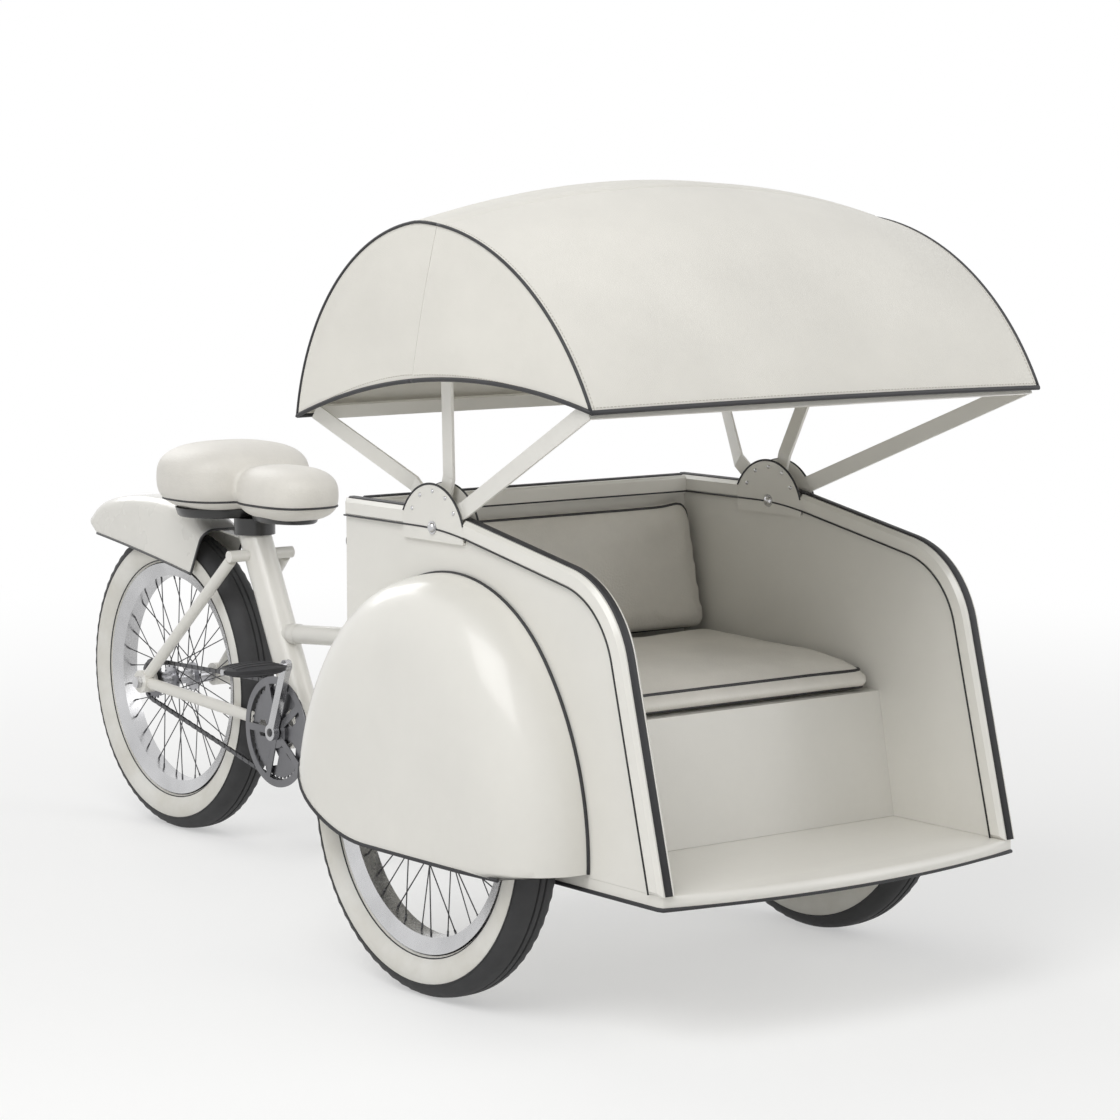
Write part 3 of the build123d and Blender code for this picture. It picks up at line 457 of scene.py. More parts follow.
# Wheel skirts: a domed steel pressing on each side, screwed to the panel over the wheel. It is replaced by
# a finer skin with the same outline, and a rubber welt is clamped along its rim and its lower edge.
skirt_top, skirt_crown, skirt_flank = 0.785, 0.360, 0.550
skirt_step, skirt_lean = skirt_flank - skirt_crown, radians(50)
skirt_shift, skirt_lift = skirt_step * sin(skirt_lean), skirt_step * cos(skirt_lean)
skirt_middle = skirt_top - skirt_crown - skirt_lift
skirt_depth, skirt_wall, shoulder_run, shoulder_power = 0.1418, 0.003, 0.155, 2.5
crown_swell, panel_gap = 0.004, 0.0005
skirt_rays, skirt_steps = 160, 34
tail_arc = arc_points((0.090, 0.278), (0.270, 0.325), (0.392, 0.430), 24)


def skirt_reach(angle):
    """How far the skirt's oval lies from its middle in that direction."""
    across, rise = abs(cos(angle)), abs(sin(angle))
    b = rise * skirt_lift
    to_crown = b + sqrt(max(0, b * b - skirt_lift**2 + skirt_crown**2))
    over = rise * to_crown - skirt_lift
    if over > 0 and atan2(across * to_crown, over) <= skirt_lean:
        return to_crown
    b = -across * skirt_shift
    return b + sqrt(max(0, b * b - skirt_shift**2 + skirt_flank**2))


def read_off(line, place):
    """The value at a place on a line of (place, value) points, straight between and level past its ends."""
    if place <= line[0][0]:
        return line[0][1]
    for (before, low), (after, high) in zip(line, line[1:]):
        if before <= place <= after:
            return low + (high - low) * (place - before) / max(1e-9, after - before)
    return line[-1][1]


def skirt_limit(angle, rim):
    """How far the skirt reaches from its middle in a direction before its rim or its lower edge stops it."""

    def above_foot(reach):
        """Whether the skirt at that reach still lies above its lower edge."""
        return skirt_middle + reach * sin(angle) > read_off(tail_arc, reach * cos(angle))

    if above_foot(rim):
        return rim
    low, high = 0.0, rim
    for _ in range(24):
        mid = (low + high) / 2
        low, high = (mid, high) if above_foot(mid) else (low, mid)
    return low


def skirt_skin(side, wall):
    """The skirt's outer or inner skin, as rows of points from its crown's middle to its rim or foot."""
    rows = []
    for i in range(skirt_rays):
        angle = 2 * pi * i / skirt_rays
        rim = skirt_reach(angle) - wall
        limit = skirt_limit(angle, rim)
        row = []
        for k in range(skirt_steps + 1):
            reach = limit * sin(pi / 2 * k / skirt_steps) ** 0.9
            flat = max(0, 1 - (rim - reach) / shoulder_run)
            dome = (1 - flat**shoulder_power) ** (1 / shoulder_power)
            x = half_tub + panel_gap + (skirt_depth - wall) * dome + crown_swell * (1 - (reach / rim) ** 2)
            row.append((side * x, axle_y + reach * cos(angle), skirt_middle + reach * sin(angle)))
        rows.append(row)
    return rows


def rim_turn(spot):
    """How far round the rim a spot lies, from straight down over the rear, the top and the front."""
    return (atan2(spot[2] - skirt_middle, spot[1] - axle_y) + pi / 2) % (2 * pi)


for hand, side in hands:
    outer, inner = skirt_skin(side, 0.0), skirt_skin(side, skirt_wall)
    points = [spot for row_out, row_in in zip(outer, inner) for spot in row_out + row_in[::-1]]
    faces = grid_faces(skirt_rays, 2 * (skirt_steps + 1), loop_rows=True)
    skirt = mesh_piece(f"wheel_skirt_shell_{hand}", points, faces)
    dress(creased(skirt, 50), "cabin", body_enamel, "body_paint", f"wheel_skirt_{hand}")
    edge = [row[-1] for row in outer]
    foot_edge = [spot for spot in edge if spot[2] < read_off(tail_arc, spot[1] - axle_y) + 0.002]
    rim_edge = sorted((spot for spot in edge if spot not in foot_edge), key=rim_turn)
    foot_edge.sort(key=lambda spot: spot[1])
    rim_line = [(side * (half_tub + 0.003), y, z) for _, y, z in rim_edge]
    run_strip(f"skirt_rim_welt_{hand}", rim_line, ring(0.0034), on_tub, up=(1, 0, 0))
    run_strip(f"skirt_foot_welt_{hand}", foot_edge, ring(0.0036), on_tub)

# Hood brackets: half-moon plates either side of the slot in each rail, with a domed nut on the hood's pivot
# pin and rivets round the plate. A thin rubber bead is rolled over the half-moon's edge.
refinish(["hood_bracket_left", "hood_bracket_right"], body_enamel)
pivot_behind, pivot_height = 0.060, 0.865
pivot = Vector((0, axle_y + pivot_behind, pivot_height))
moon_marks = ((-0.095, 0.8735), (0, 0.946), (0.095, 0.8905))
rivet_angles, rivet_reach, rivet_lift = (20, 55, 90, 125, 160), (0.070, 0.056), 0.012


def bright_metal(name, colour=(0.62, 0.62, 0.63), roughness=0.22):
    """Plated or brushed steel: fine streaks in its gloss and a light clouding."""
    steel = new_finish(name)
    streaks = noise(steel, 140.0)
    tone = toned(steel, noise(steel, 9.0, 4.0), shade(colour, 0.85), shade(colour, 1.08))
    set_shader(steel, {"Metallic": 1.0, "Base Color": tone})
    glossed(steel, streaks, roughness * 0.7, roughness * 1.5)
    embossed(steel, streaks, 0.02, 0.0003)
    return steel


def turned(name, centre, profile, axis="X", steps=32, crisp=35):
    """A round piece about an axis through centre, from (place along the axis, radius) points."""
    points = []
    for along, radius in profile:
        for c, s in circle(steps):
            a, b = radius * c, radius * s
            offset = {"X": (along, a, b), "Y": (a, along, b), "Z": (a, b, along)}[axis]
            points.append(Vector(centre) + Vector(offset))
    open_ends = (profile[0][1] > 1e-5, profile[-1][1] > 1e-5)
    return creased(mesh_piece(name, points, tube_faces(len(profile), steps, open_ends)), crisp)


def dome_profile(radius, height, sign=1, steps=6, base=0.0):
    """A domed head's profile: up from its rim to its middle, on a base."""
    quarter = [pi / 2 * i / steps for i in range(steps + 1)]
    return [(sign * height * sin(turn_to) + sign * base, radius * cos(turn_to) + 1e-6) for turn_to in quarter]


def joined(name, pieces):
    """Several pieces made into one object, keeping their finishes."""
    bpy.ops.object.select_all(action="DESELECT")
    for piece in pieces:
        piece.select_set(True)
    bpy.context.view_layer.objects.active = pieces[0]
    bpy.ops.object.join()
    pieces[0].name = name
    pieces[0].data.name = name
    return pieces[0]


plated = bright_metal("zinc_plate")
for hand, side in hands:
    heads = []
    for face_x, sign in ((side * 0.431, side), (side * 0.393, -side)):
        nut = [(0, 0.0125), (sign * 0.002, 0.0125)] + dome_profile(0.0095, 0.007, sign, base=0.002)
        heads.append(turned("pivot_nut", (face_x, pivot.y, pivot.z), nut))
        for angle in rivet_angles:
            y = pivot.y + rivet_reach[0] * cos(radians(angle))
            z = pivot.z + rivet_lift + rivet_reach[1] * sin(radians(angle))
            heads.append(turned("rivet", (face_x, y, z), dome_profile(0.0042, 0.0026, sign), steps=16))
    dress(joined(f"bracket_rivets_{hand}", heads), "cabin", plated, "bare_steel")
    moon = arc_points(*((pivot.y + y, z) for y, z in moon_marks), 40)
    for face_name, face_x in (("outer", side * 0.4305), ("inner", side * 0.3935)):
        bead_line = [(face_x, y, z) for y, z in moon]
        run_strip(f"bracket_bead_{face_name}_{hand}", bead_line, ring(0.0022), on_tub, up=(1, 0, 0))

# Hood bows: flat steel bars bent to hoops that fan out from the pivots, enamelled like the rails. The hood
# cloth is stretched over their cross bars.
bow_enamel = enamel("bow_enamel", shade(ivory, 1.02), roughness=0.28, dust=0.0)
refinish(["rear_bow", "middle_bow", "front_bow"], bow_enamel)

# Hood cloth: coated canvas stretched over the bows as one crowned sheet with two end panels, open below. It
# is cut in two where it passes over the middle bow.
half_hood, hood_crown, crown_width = 0.533, 0.074, 0.535
hood_marks = [(0.358, 1.060), (0.266, 1.268), (-0.040, 1.432), (-0.372, 1.322), (-0.548, 1.118)]
mark_rises = [0.05, 0.75, 1.0, 0.75, 0.05]
hood_arch = (-0.070, 1.150)
middle_bow_angle, bow_clearance = 106, 0.0004
sheet_thickness, top_slack, end_belly = 0.0026, 0.005, 0.004
top_rows, end_rows = 56, 16
stitch_pitch, stitch_length = 0.0078, 0.0048
stitch_outline = [(-0.0005, -0.0004), (-0.0005, 0.0005), (0.0005, 0.0005), (0.0005, -0.0004)]
stitch_inset = 0.0085


def polar_line(points):
    """A line of (y, z) points as sorted (angle in degrees, distance) about the hood's pivot."""
    offsets = [(y - pivot_behind, z - pivot_height) for y, z in points]
    return sorted((degrees(atan2(z, y)), hypot(y, z)) for y, z in offsets)


def hood_spot(x, angle, reach):
    """The place at x in a direction, in degrees, and at a distance from the hood's pivot."""
    y = pivot_behind + axle_y + reach * cos(radians(angle))
    return Vector((x, y, pivot_height + reach * sin(radians(angle))))


def hood_outline(x):
    """The hood's top line at x, as a polar line."""
    rise = hood_crown * (1 - (x / crown_width) ** 2)
    rear, rear_haunch, peak, haunch, front = [(y, z + s * rise) for (y, z), s in zip(hood_marks, mark_rises)]
    return polar_line(arc_points(rear, rear_haunch, peak, 160) + arc_points(peak, haunch, front, 160)[1:])


def angle_at(outline, share):
    """The angle at a share of an outline's whole sweep, from its rear edge to its front edge."""
    return outline[0][0] + (outline[-1][0] - outline[0][0]) * share


def middle_bow_share(outline):
    """The share of an outline's sweep at which it crosses the middle bow."""
    return (middle_bow_angle - outline[0][0]) / (outline[-1][0] - outline[0][0])


def hood_point(x, share, outline):
    """A point on the hood's top at x, a little slack between the bows."""
    angle, middle = angle_at(outline, share), middle_bow_share(outline)
    span = share / middle if share < middle else (share - middle) / (1 - middle)
    slack = top_slack * sin(pi * span) ** 2 * (1 - abs(x / half_hood) ** 6)
    return hood_spot(x, angle, read_off(outline, angle) - slack)


def hood_half(first_share, last_share, columns):
    """One half of the hood's skin, from end hem over the top to the other end hem, as rows of points."""
    edge = hood_outline(half_hood)
    shares = [first_share + (last_share - first_share) * i / columns for i in range(columns + 1)]
    ends = []
    for side in (-1, 1):
        panel = []
        for k in range(end_rows + 1):
            fall, row = k / end_rows, []
            for share in shares:
                angle = angle_at(edge, share)
                top, foot = read_off(edge, angle), read_off(hood_foot, angle)
                belly = end_belly * sin(pi * fall) * sin(pi * share)
                row.append(hood_spot(side * (half_hood + belly), angle, foot + (top - foot) * fall))
            panel.append(row)
        ends.append(panel)
    over = []
    for x in top_places[1:-1]:
        outline = hood_outline(x)
        over.append([hood_point(x, share, outline) for share in shares])
    return ends[0] + over + ends[1][::-1]


def woven(name, colour, roughness):
    """Coated canvas: a fine crossed weave, faint slubs, and soft weathering."""
    canvas = new_finish(name)
    tone = toned(canvas, noise(canvas, 3.5, 5.0, 0.55), shade(colour, 0.94), shade(colour, 1.03))
    set_shader(canvas, {"Base Color": tone, "Roughness": roughness, "Sheen Weight": 0.25})
    threads = []
    for direction in ("X", "DIAGONAL"):
        wave = add_node(canvas.node_tree, "TexWave", {}, wave_type="BANDS", bands_direction=direction)
        spacing = {"Vector": place_in(canvas), "Scale": 900.0 / 6.3, "Distortion": 0.6, "Detail": 1.0}
        fill_inputs(canvas.node_tree, wave, spacing)
        threads.append(wave.outputs["Fac"])
    embossed(canvas, worked_out(canvas.node_tree, "MAXIMUM", *threads), 0.35, 0.0007)
    return canvas


def stitched(line, end_side):
    """A row of stitches along a line, raised from the hood's top, or from its end panel on that side."""
    spots, faces, travelled, target = [], [], 0.0, stitch_pitch
    for a, b in zip(line, line[1:]):
        step = (b - a).length
        while travelled + step >= target:
            middle = a.lerp(b, (target - travelled) / step)
            along = (b - a).normalized()
            out = Vector((end_side, 0, 0))
            if not end_side:
                out = Vector((0, middle.y - pivot.y, middle.z - pivot.z)).normalized()
            aside = along.cross(out).normalized()
            first = len(spots)
            for end in (-0.5, 0.5):
                for across, rise in stitch_outline:
                    spots.append(middle + along * stitch_length * end + aside * across + out * rise)
            faces += [tuple(first + k for k in face) for face in tube_faces(2, len(stitch_outline))]
            target += stitch_pitch
        travelled += step
    return mesh_piece("stitches", spots, faces)


def worked(piece, kind, **settings):
    """Shape a piece by a modifier, and apply it."""
    step = piece.modifiers.new(kind.lower(), kind)
    for key, value in settings.items():
        setattr(step, key, value)
    bpy.context.view_layer.objects.active = piece
    bpy.ops.object.modifier_apply(modifier=step.name)
    return piece


hood_canvas = woven("hood_canvas", (0.80, 0.78, 0.72), 0.75)
seam_thread = woven("seam_thread", (0.55, 0.52, 0.45), 0.6)
piping_vinyl = soft_black("piping_vinyl", roughness=0.45, grain=380.0)
hood_foot = polar_line(arc_points(hood_marks[0], hood_arch, hood_marks[-1], 200))
top_places = [-half_hood + 2 * half_hood * i / top_rows for i in range(top_rows + 1)]
middle_share = middle_bow_share(hood_outline(half_hood))
rear_anchor = (0, axle_y + 0.330, 1.090)
middle_anchor = (0, axle_y - 0.100, 1.430)
front_anchor = (0, axle_y - 0.520, 1.135)
# Each half: its shares of the sweep and its columns, its two bodies and where the cloth passes from one to
# the other, its outer edge's column and the next, its panel laid flat, hem to hem and along the crown in
# metres, and the area that is cut.
for part, extent, bodies, (start, end), (edge, beside_edge), cut, cut_area in (
    (
        "rear",
        (0.0, middle_share - bow_clearance, 44),
        ("cabin", "middle_bow"),
        (rear_anchor, middle_anchor),
        (0, 1),
        (1.670, 0.723),
        0.936,
    ),
    (
        "front",
        (middle_share + bow_clearance, 1.0, 34),
        ("middle_bow", "front_bow"),
        (middle_anchor, front_anchor),
        (-1, -2),
        (1.667, 0.592),
        0.809,
    ),
):
    skin = hood_half(*extent)
    points = [spot for row in skin for spot in row]
    cloth = mesh_piece(f"hood_cloth_{part}", points, grid_faces(len(skin), len(skin[0])))
    creased(worked(cloth, "SOLIDIFY", thickness=sheet_thickness, offset=-1), 55)
    cloth.data.materials.append(hood_canvas)
    # Piping: along the creases and hems of the end panels, and along the half's outer edge
    creases, hems = (end_rows, -end_rows - 1), (0, -1)
    welts = [swept("crease", skin[row], ring(0.0030)) for row in creases]
    welts += [swept("hem", skin[row], ring(0.0042)) for row in hems]
    welts.append(swept("edge", [row[edge] for row in skin], ring(0.0046), up=(0, 1, 0)))
    piping = joined(f"hood_piping_{part}", welts)
    piping.data.materials.append(piping_vinyl)
    # Stitching: a row of short stitches beside each piped edge
    seams = []
    for row, inwards, end_side in zip(creases + hems, (1, -1, 1, -1), (0, 0, -1, 1)):
        line, beside = skin[row], skin[row + inwards]
        middle = len(line) // 2
        share = min(0.9, stitch_inset / max(0.001, (beside[middle] - line[middle]).length))
        seams.append(([a.lerp(b, share) for a, b in zip(line, beside)], end_side))
    seams.append(([row[edge].lerp(row[beside_edge], 0.5) for row in skin[end_rows:-end_rows]], 0))
    threads = joined(f"hood_stitching_{part}", [stitched(line, end_side) for line, end_side in seams])
    threads.data.materials.append(seam_thread)
    for piece in (cloth, piping, threads):
        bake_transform(piece)
    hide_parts(f"canopy_{part}")

# Hood seam: a stitched band of the same canvas over the middle bow. It covers the cut between the two
# halves of the cloth, and rides on that bow.
seam_outline = ((-0.016, 0.0006), (-0.014, 0.0022), (0.014, 0.0022), (0.016, 0.0006))
seam_depth = 0.004
bow_turn = radians(middle_bow_angle)
seam_along = Vector((0, -sin(bow_turn), cos(bow_turn)))
seam_points = []
for x in top_places:
    reach = read_off(hood_outline(x), middle_bow_angle)
    rises = list(seam_outline)
    rises += [(offset, lift * 0.2 - seam_depth) for offset, lift in reversed(seam_outline)]
    for offset, rise in rises:
        seam_points.append(hood_spot(x, middle_bow_angle, reach + rise) + seam_along * offset)
seam = mesh_piece("hood_seam", seam_points, tube_faces(len(top_places), 2 * len(seam_outline)))
dress(seam, "middle_bow", hood_canvas, "hood_cloth")

# Seat and back cushions: plain pads of soft hide over foam, piped in black round the edges of the seat and
# the face of the back. They are puffed by a short cloth simulation, and stay within a few millimetres of
# their solids.
seat_hide = new_finish("seat_hide")
hide_colour, hide_roughness = (0.78, 0.755, 0.70), 0.42
hide_clouds = noise(seat_hide, 7.0, 6.0, 0.6)
hide_tone = toned(seat_hide, hide_clouds, shade(hide_colour, 0.92), shade(hide_colour, 1.04))
set_shader(seat_hide, {"Base Color": hide_tone})
glossed(seat_hide, hide_clouds, hide_roughness * 0.8, hide_roughness * 1.4)
pebbles = add_node(seat_hide.node_tree, "TexVoronoi", {"Vector": place_in(seat_hide), "Scale": 230.0})
embossed(seat_hide, pebbles.outputs["Distance"], 0.35, 0.0012)
pad_half, pad_limit = 0.391, 0.3945
pad_stations = [-1, -0.985, -0.9, -0.6, -0.3, 0, 0.3, 0.6, 0.9, 0.985, 1]
end_pull = (0.96, 0.90)
pad_voxel, pad_swell, pad_pressure, puff_frames = 0.010, 0.010, 4.0, 20
on_cushion = ("cabin", piping_vinyl, "black_rubber")


def pillow(name, outline):
    """A pad with a side outline of (y, z) points, puffed by cloth simulation and kept near its start."""
    count = len(outline)
    middle_y, middle_z = sum(y for y, z in outline) / count, sum(z for y, z in outline) / count
    points = []
    for station in pad_stations:
        pull_y, pull_z = end_pull if abs(station) == 1 else (1, 1)
        for y, z in outline:
            drawn_in = (middle_y + (y - middle_y) * pull_y, middle_z + (z - middle_z) * pull_z)
            points.append((station * pad_half, *drawn_in))
    pad = mesh_piece(name, points, tube_faces(len(pad_stations), count))
    worked(pad, "REMESH", mode="VOXEL", voxel_size=pad_voxel)
    worked(pad, "SMOOTH", iterations=6)
    puffed(pad)
    worked(pad, "SUBSURF", levels=1)
    for face in pad.data.polygons:
        face.use_smooth = True
    return pad


def puffed(pad):
    """Blow a pad up as cloth, and let each of its points travel no further than the swell."""
    rest = [vertex.co.copy() for vertex in pad.data.vertices]
    cloth = pad.modifiers.new("puff", "CLOTH")
    cloth.settings.use_pressure = True
    cloth.settings.uniform_pressure_force = pad_pressure
    cloth.settings.effector_weights.gravity = 0
    cloth.settings.quality = 5
    cloth.point_cache.frame_start = 1
    cloth.point_cache.frame_end = puff_frames
    for step in range(1, puff_frames + 1):
        scene.frame_set(step)
    settled = pad.evaluated_get(bpy.context.evaluated_depsgraph_get())
    moved = [vertex.co.copy() for vertex in settled.data.vertices]
    pad.modifiers.remove(cloth)
    scene.frame_set(1)
    for vertex, start, end in zip(pad.data.vertices, rest, moved):
        travel = end - start
        if travel.length > pad_swell:
            travel = travel.normalized() * pad_swell
        vertex.co = start + travel


def cut_line(piece, place, facing, every):
    """The closed line where a plane cuts a piece, as ordered points, of which it keeps one in so many."""
    work = bmesh.new()
    work.from_mesh(piece.data)
    parts = work.verts[:] + work.edges[:] + work.faces[:]
    cut = bmesh.ops.bisect_plane(work, geom=parts, plane_co=place, plane_no=facing)["geom_cut"]
    edges = [e for e in cut if isinstance(e, bmesh.types.BMEdge)]
    on_line = set(edges)
    here = edges[0].verts[0]
    line, seen = [here.co.copy()], {here}
    while True:
        beside = [e.other_vert(here) for e in here.link_edges if e in on_line]
        ahead = [spot for spot in beside if spot not in seen]
        if not ahead:
            break
        here = ahead[0]
        seen.add(here)
        line.append(here.co.copy())
    work.free()
    return line[::every]


def pressed(pad, low, high):
    """Hold a pad's points inside the box that its neighbours leave it."""
    for vertex in pad.data.vertices:
        for axis in range(3):
            vertex.co[axis] = min(high[axis], max(low[axis], vertex.co[axis]))


seat_low, seat_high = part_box("seat_cushion")
front_y, rear_y = seat_low.y, seat_high.y
seat_rear = [(-0.002, 0.5245), (0.006, 0.540), (0.006, 0.575), (-0.002, 0.589)]
seat_front = [(0.30, 0.588), (0.16, 0.584), (0.08, 0.574), (0.035, 0.562)]
seat_front += [(0.012, 0.550), (0.006, 0.540), (0.012, 0.530), (0.024, 0.5255)]
seat_outline = [(rear_y + y, z) for y, z in seat_rear] + [(front_y + y, z) for y, z in seat_front]
seat_pad = pillow("seat_pad", seat_outline)
pressed(seat_pad, (-pad_limit, front_y - 0.004, 0.5204), (pad_limit, rear_y - 0.001, 0.606))
dress(seat_pad, "cabin", seat_hide, "seat_cover", "seat_cushion")
for line_name, line_z in (("upper", 0.5600), ("lower", 0.5290)):
    line = cut_line(seat_pad, (0, 0, line_z), (0, 0, 1), 3)
    run_strip(f"seat_piping_{line_name}", line, ring(0.0034), on_cushion, closed=True)

back_low, back_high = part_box("back_cushion")
back_rear = [(-0.002, back_low.z - 0.010), (-0.001, back_high.z - 0.012), (-0.008, back_high.z - 0.002)]
back_crown = [(0.306, back_high.z - 0.004), (0.290, back_high.z - 0.024)]
back_face = [(0.268, 0.14), (0.250, 0.05), (0.239, 0.010), (0.243, -0.010)]
back_outline = [(back_high.y + y, z) for y, z in back_rear] + [(axle_y + y, z) for y, z in back_crown]
back_outline += [(axle_y + y, back_low.z + rise) for y, rise in back_face]
back_pad = pillow("back_pad", back_outline)
pressed(back_pad, (-pad_limit, back_low.y - 0.004, back_low.z), (pad_limit, back_high.y, back_high.z + 0.001))
dress(back_pad, "cabin", seat_hide, "seat_cover", "back_cushion")
face_line = cut_line(back_pad, (0, axle_y + 0.300, 0.800), (0, 0.24, -0.036), 3)
run_strip("back_piping", face_line, ring(0.0032), on_cushion, closed=True, up=(0, 1, 0))

# Saddle: a broad padded seat with a rounded nose lobe, covered in hide, on a black steel pan and collar.
# The two lobes are squashed rounds melted together, which leaves the crease between them.
seat_lobe = ((1.440, 0.836), (0.168, 0.136, 0.080))
nose_lobe = ((1.218, 0.814), (0.088, 0.130, 0.061))
lobe_power, lobe_rings, lobe_sides = 0.72, 22, 40
pan_shapes = ((1.440, (0.132, 0.104), 0.7700), (1.228, (0.060, 0.092), 0.7740))
pan_foot, pan_sides = 0.7500, 48
hem_height, hem_radius = 0.790, 0.0028


def squared(value):
    """A sine or cosine pushed outwards, which squares off a round."""
    return (1 if value >= 0 else -1) * abs(value) ** lobe_power


def lobe(name, centre, halves):
    """A puffy squashed round about a (y, z) centre, measured from the front axle."""
    points = []
    for i in range(lobe_rings + 1):
        rise = -pi / 2 + pi * i / lobe_rings
        out, lift = squared(cos(rise)), squared(sin(rise))
        for c, s in circle(lobe_sides):
            x, y = halves[0] * out * squared(c), axle_y + centre[0] + halves[1] * out * squared(s)
            points.append((x, y, centre[1] + halves[2] * lift))
    return mesh_piece(name, points, grid_faces(lobe_rings + 1, lobe_sides, loop_columns=True))


saddle_black = enamel("saddle_base_black", (0.02, 0.02, 0.02), roughness=0.35, dust=0.0)
refinish(["saddle_collar"], saddle_black)
saddle = joined("saddle_pad", [lobe("rear_lobe", *seat_lobe), lobe("nose_lobe", *nose_lobe)])
worked(saddle, "REMESH", mode="VOXEL", voxel_size=0.0045)
worked(saddle, "SMOOTH", iterations=4)
for face in saddle.data.polygons:
    face.use_smooth = True
dress(saddle, "rear_frame", seat_hide, "seat_cover", "saddle")
pans = []
for pan_y, (half_x, half_y), pan_top in pan_shapes:
    rim = []
    for z, grow in ((pan_foot, -0.004), (pan_foot + 0.003, 0.0), (pan_top, 0.006)):
        rim += [((half_x + grow) * c, axle_y + pan_y + (half_y + grow) * s, z) for c, s in circle(pan_sides)]
    pans.append(mesh_piece("pan", rim, tube_faces(3, pan_sides)))
dress(creased(joined("saddle_pan", pans), 40), "rear_frame", saddle_black, "black_metal")
hem_line = cut_line(saddle, (0, 0, hem_height), (0, 0, 1), 4)
run_strip("saddle_hem", hem_line, ring(hem_radius), ("rear_frame", piping_vinyl, "black_rubber"), closed=True)

# Wheels: steel rims laced with round spokes to turned hubs, and black tyres with a grooved tread and a
# white wall moulded into each side. Tyres and hubs are finer than their solids and stand for them; the rims
# keep theirs.
wheel_rubber = soft_black("tyre_tread_rubber", colour=(0.022, 0.022, 0.023), roughness=0.62, grain=300.0)
wall_rubber = new_finish("white_wall_rubber")
wall_tone = toned(wall_rubber, noise(wall_rubber, 9.0, 5.0, 0.6), (0.70, 0.68, 0.62), (0.82, 0.81, 0.77))
set_shader(wall_rubber, {"Base Color": wall_tone, "Roughness": 0.55})
embossed(wall_rubber, noise(wall_rubber, 350.0), 0.2, 0.0006)
rim_plate = bright_metal("rim_plate", colour=(0.58, 0.58, 0.59), roughness=0.24)
hub_plate = bright_metal("hub_plate", colour=(0.50, 0.50, 0.52), roughness=0.28)
spoke_steel = bright_metal("spoke_steel", colour=(0.10, 0.10, 0.105), roughness=0.35)
cap_black = enamel("hub_cap_black", (0.03, 0.03, 0.032), roughness=0.3, dust=0.0)
wheel_height, rear_axle_y, wheel_x = 0.35, 0.992, 0.477
# Each wheel: its name, its middle, half its hub's width, its body, and how its CAD nodes are named
wheels = (
    ("left", (wheel_x, axle_y, wheel_height), 0.036, "wheel_left", "front_{}_left"),
    ("right", (-wheel_x, axle_y, wheel_height), 0.036, "wheel_right", "front_{}_right"),
    ("rear", (0, rear_axle_y, wheel_height), 0.080, "rear_wheel", "rear_{}"),
)
tyre_steps, tread_groove = 144, 0.0024
wall_radii, wall_inner_x = (0.2725, 0.3190), 0.028
bead_lines = (("outer", 0.3222, 0.0424, 0.0016), ("inner", 0.2745, 0.0325, 0.0014))
flange_x, flange_radius = 0.028, 0.0295
hub_flange = [(0.0, 0.0150), (0.016, 0.0150), (0.022, 0.0180), (0.0255, 0.0290), (0.0262, 0.0330)]
hub_flange += [(0.0298, 0.0330), (0.0305, 0.0290), (0.0305, 0.0170)]
spoke_count, spoke_turn, spoke_reach, nipple_share = 36, radians(62), 0.2405, 0.055
valve_reach = 0.205
valve_stem = [(0.0, 0.0022), (0.0, 0.0024), (0.022, 0.0024), (0.024, 0.0034), (0.032, 0.0034), (0.033, 0.002)]


def tyre_section(groove):
    """A tyre's section as (aside, radius) points, with its shoulders sunk by a groove."""
    half = [(0.0235, 0.2682), (0.0275, 0.2700), (0.0335, 0.2760), (0.0400, 0.2860), (0.0440, 0.2970)]
    half += [(0.0448, 0.3060), (0.0440, 0.3150), (0.0420, 0.3230), (0.0416, 0.3246), (0.0405, 0.3290)]
    half += [(0.0360, 0.3390 - groove), (0.0290, 0.3452 - groove), (0.0210, 0.3483), (0.0120, 0.3495)]
    half += [(0.0095, 0.3496), (0.0080, 0.3462), (0.0060, 0.3462), (0.0045, 0.3498)]
    return half + [(-a, r) for a, r in reversed(half)] + [(-0.018, 0.2700), (0.018, 0.2700)]


def wheel_spot(centre, aside, radius, angle):
    """A place on a wheel: aside from its middle, and at a radius and an angle about its axle."""
    return Vector((centre[0] + aside, centre[1] + radius * cos(angle), centre[2] + radius * sin(angle)))


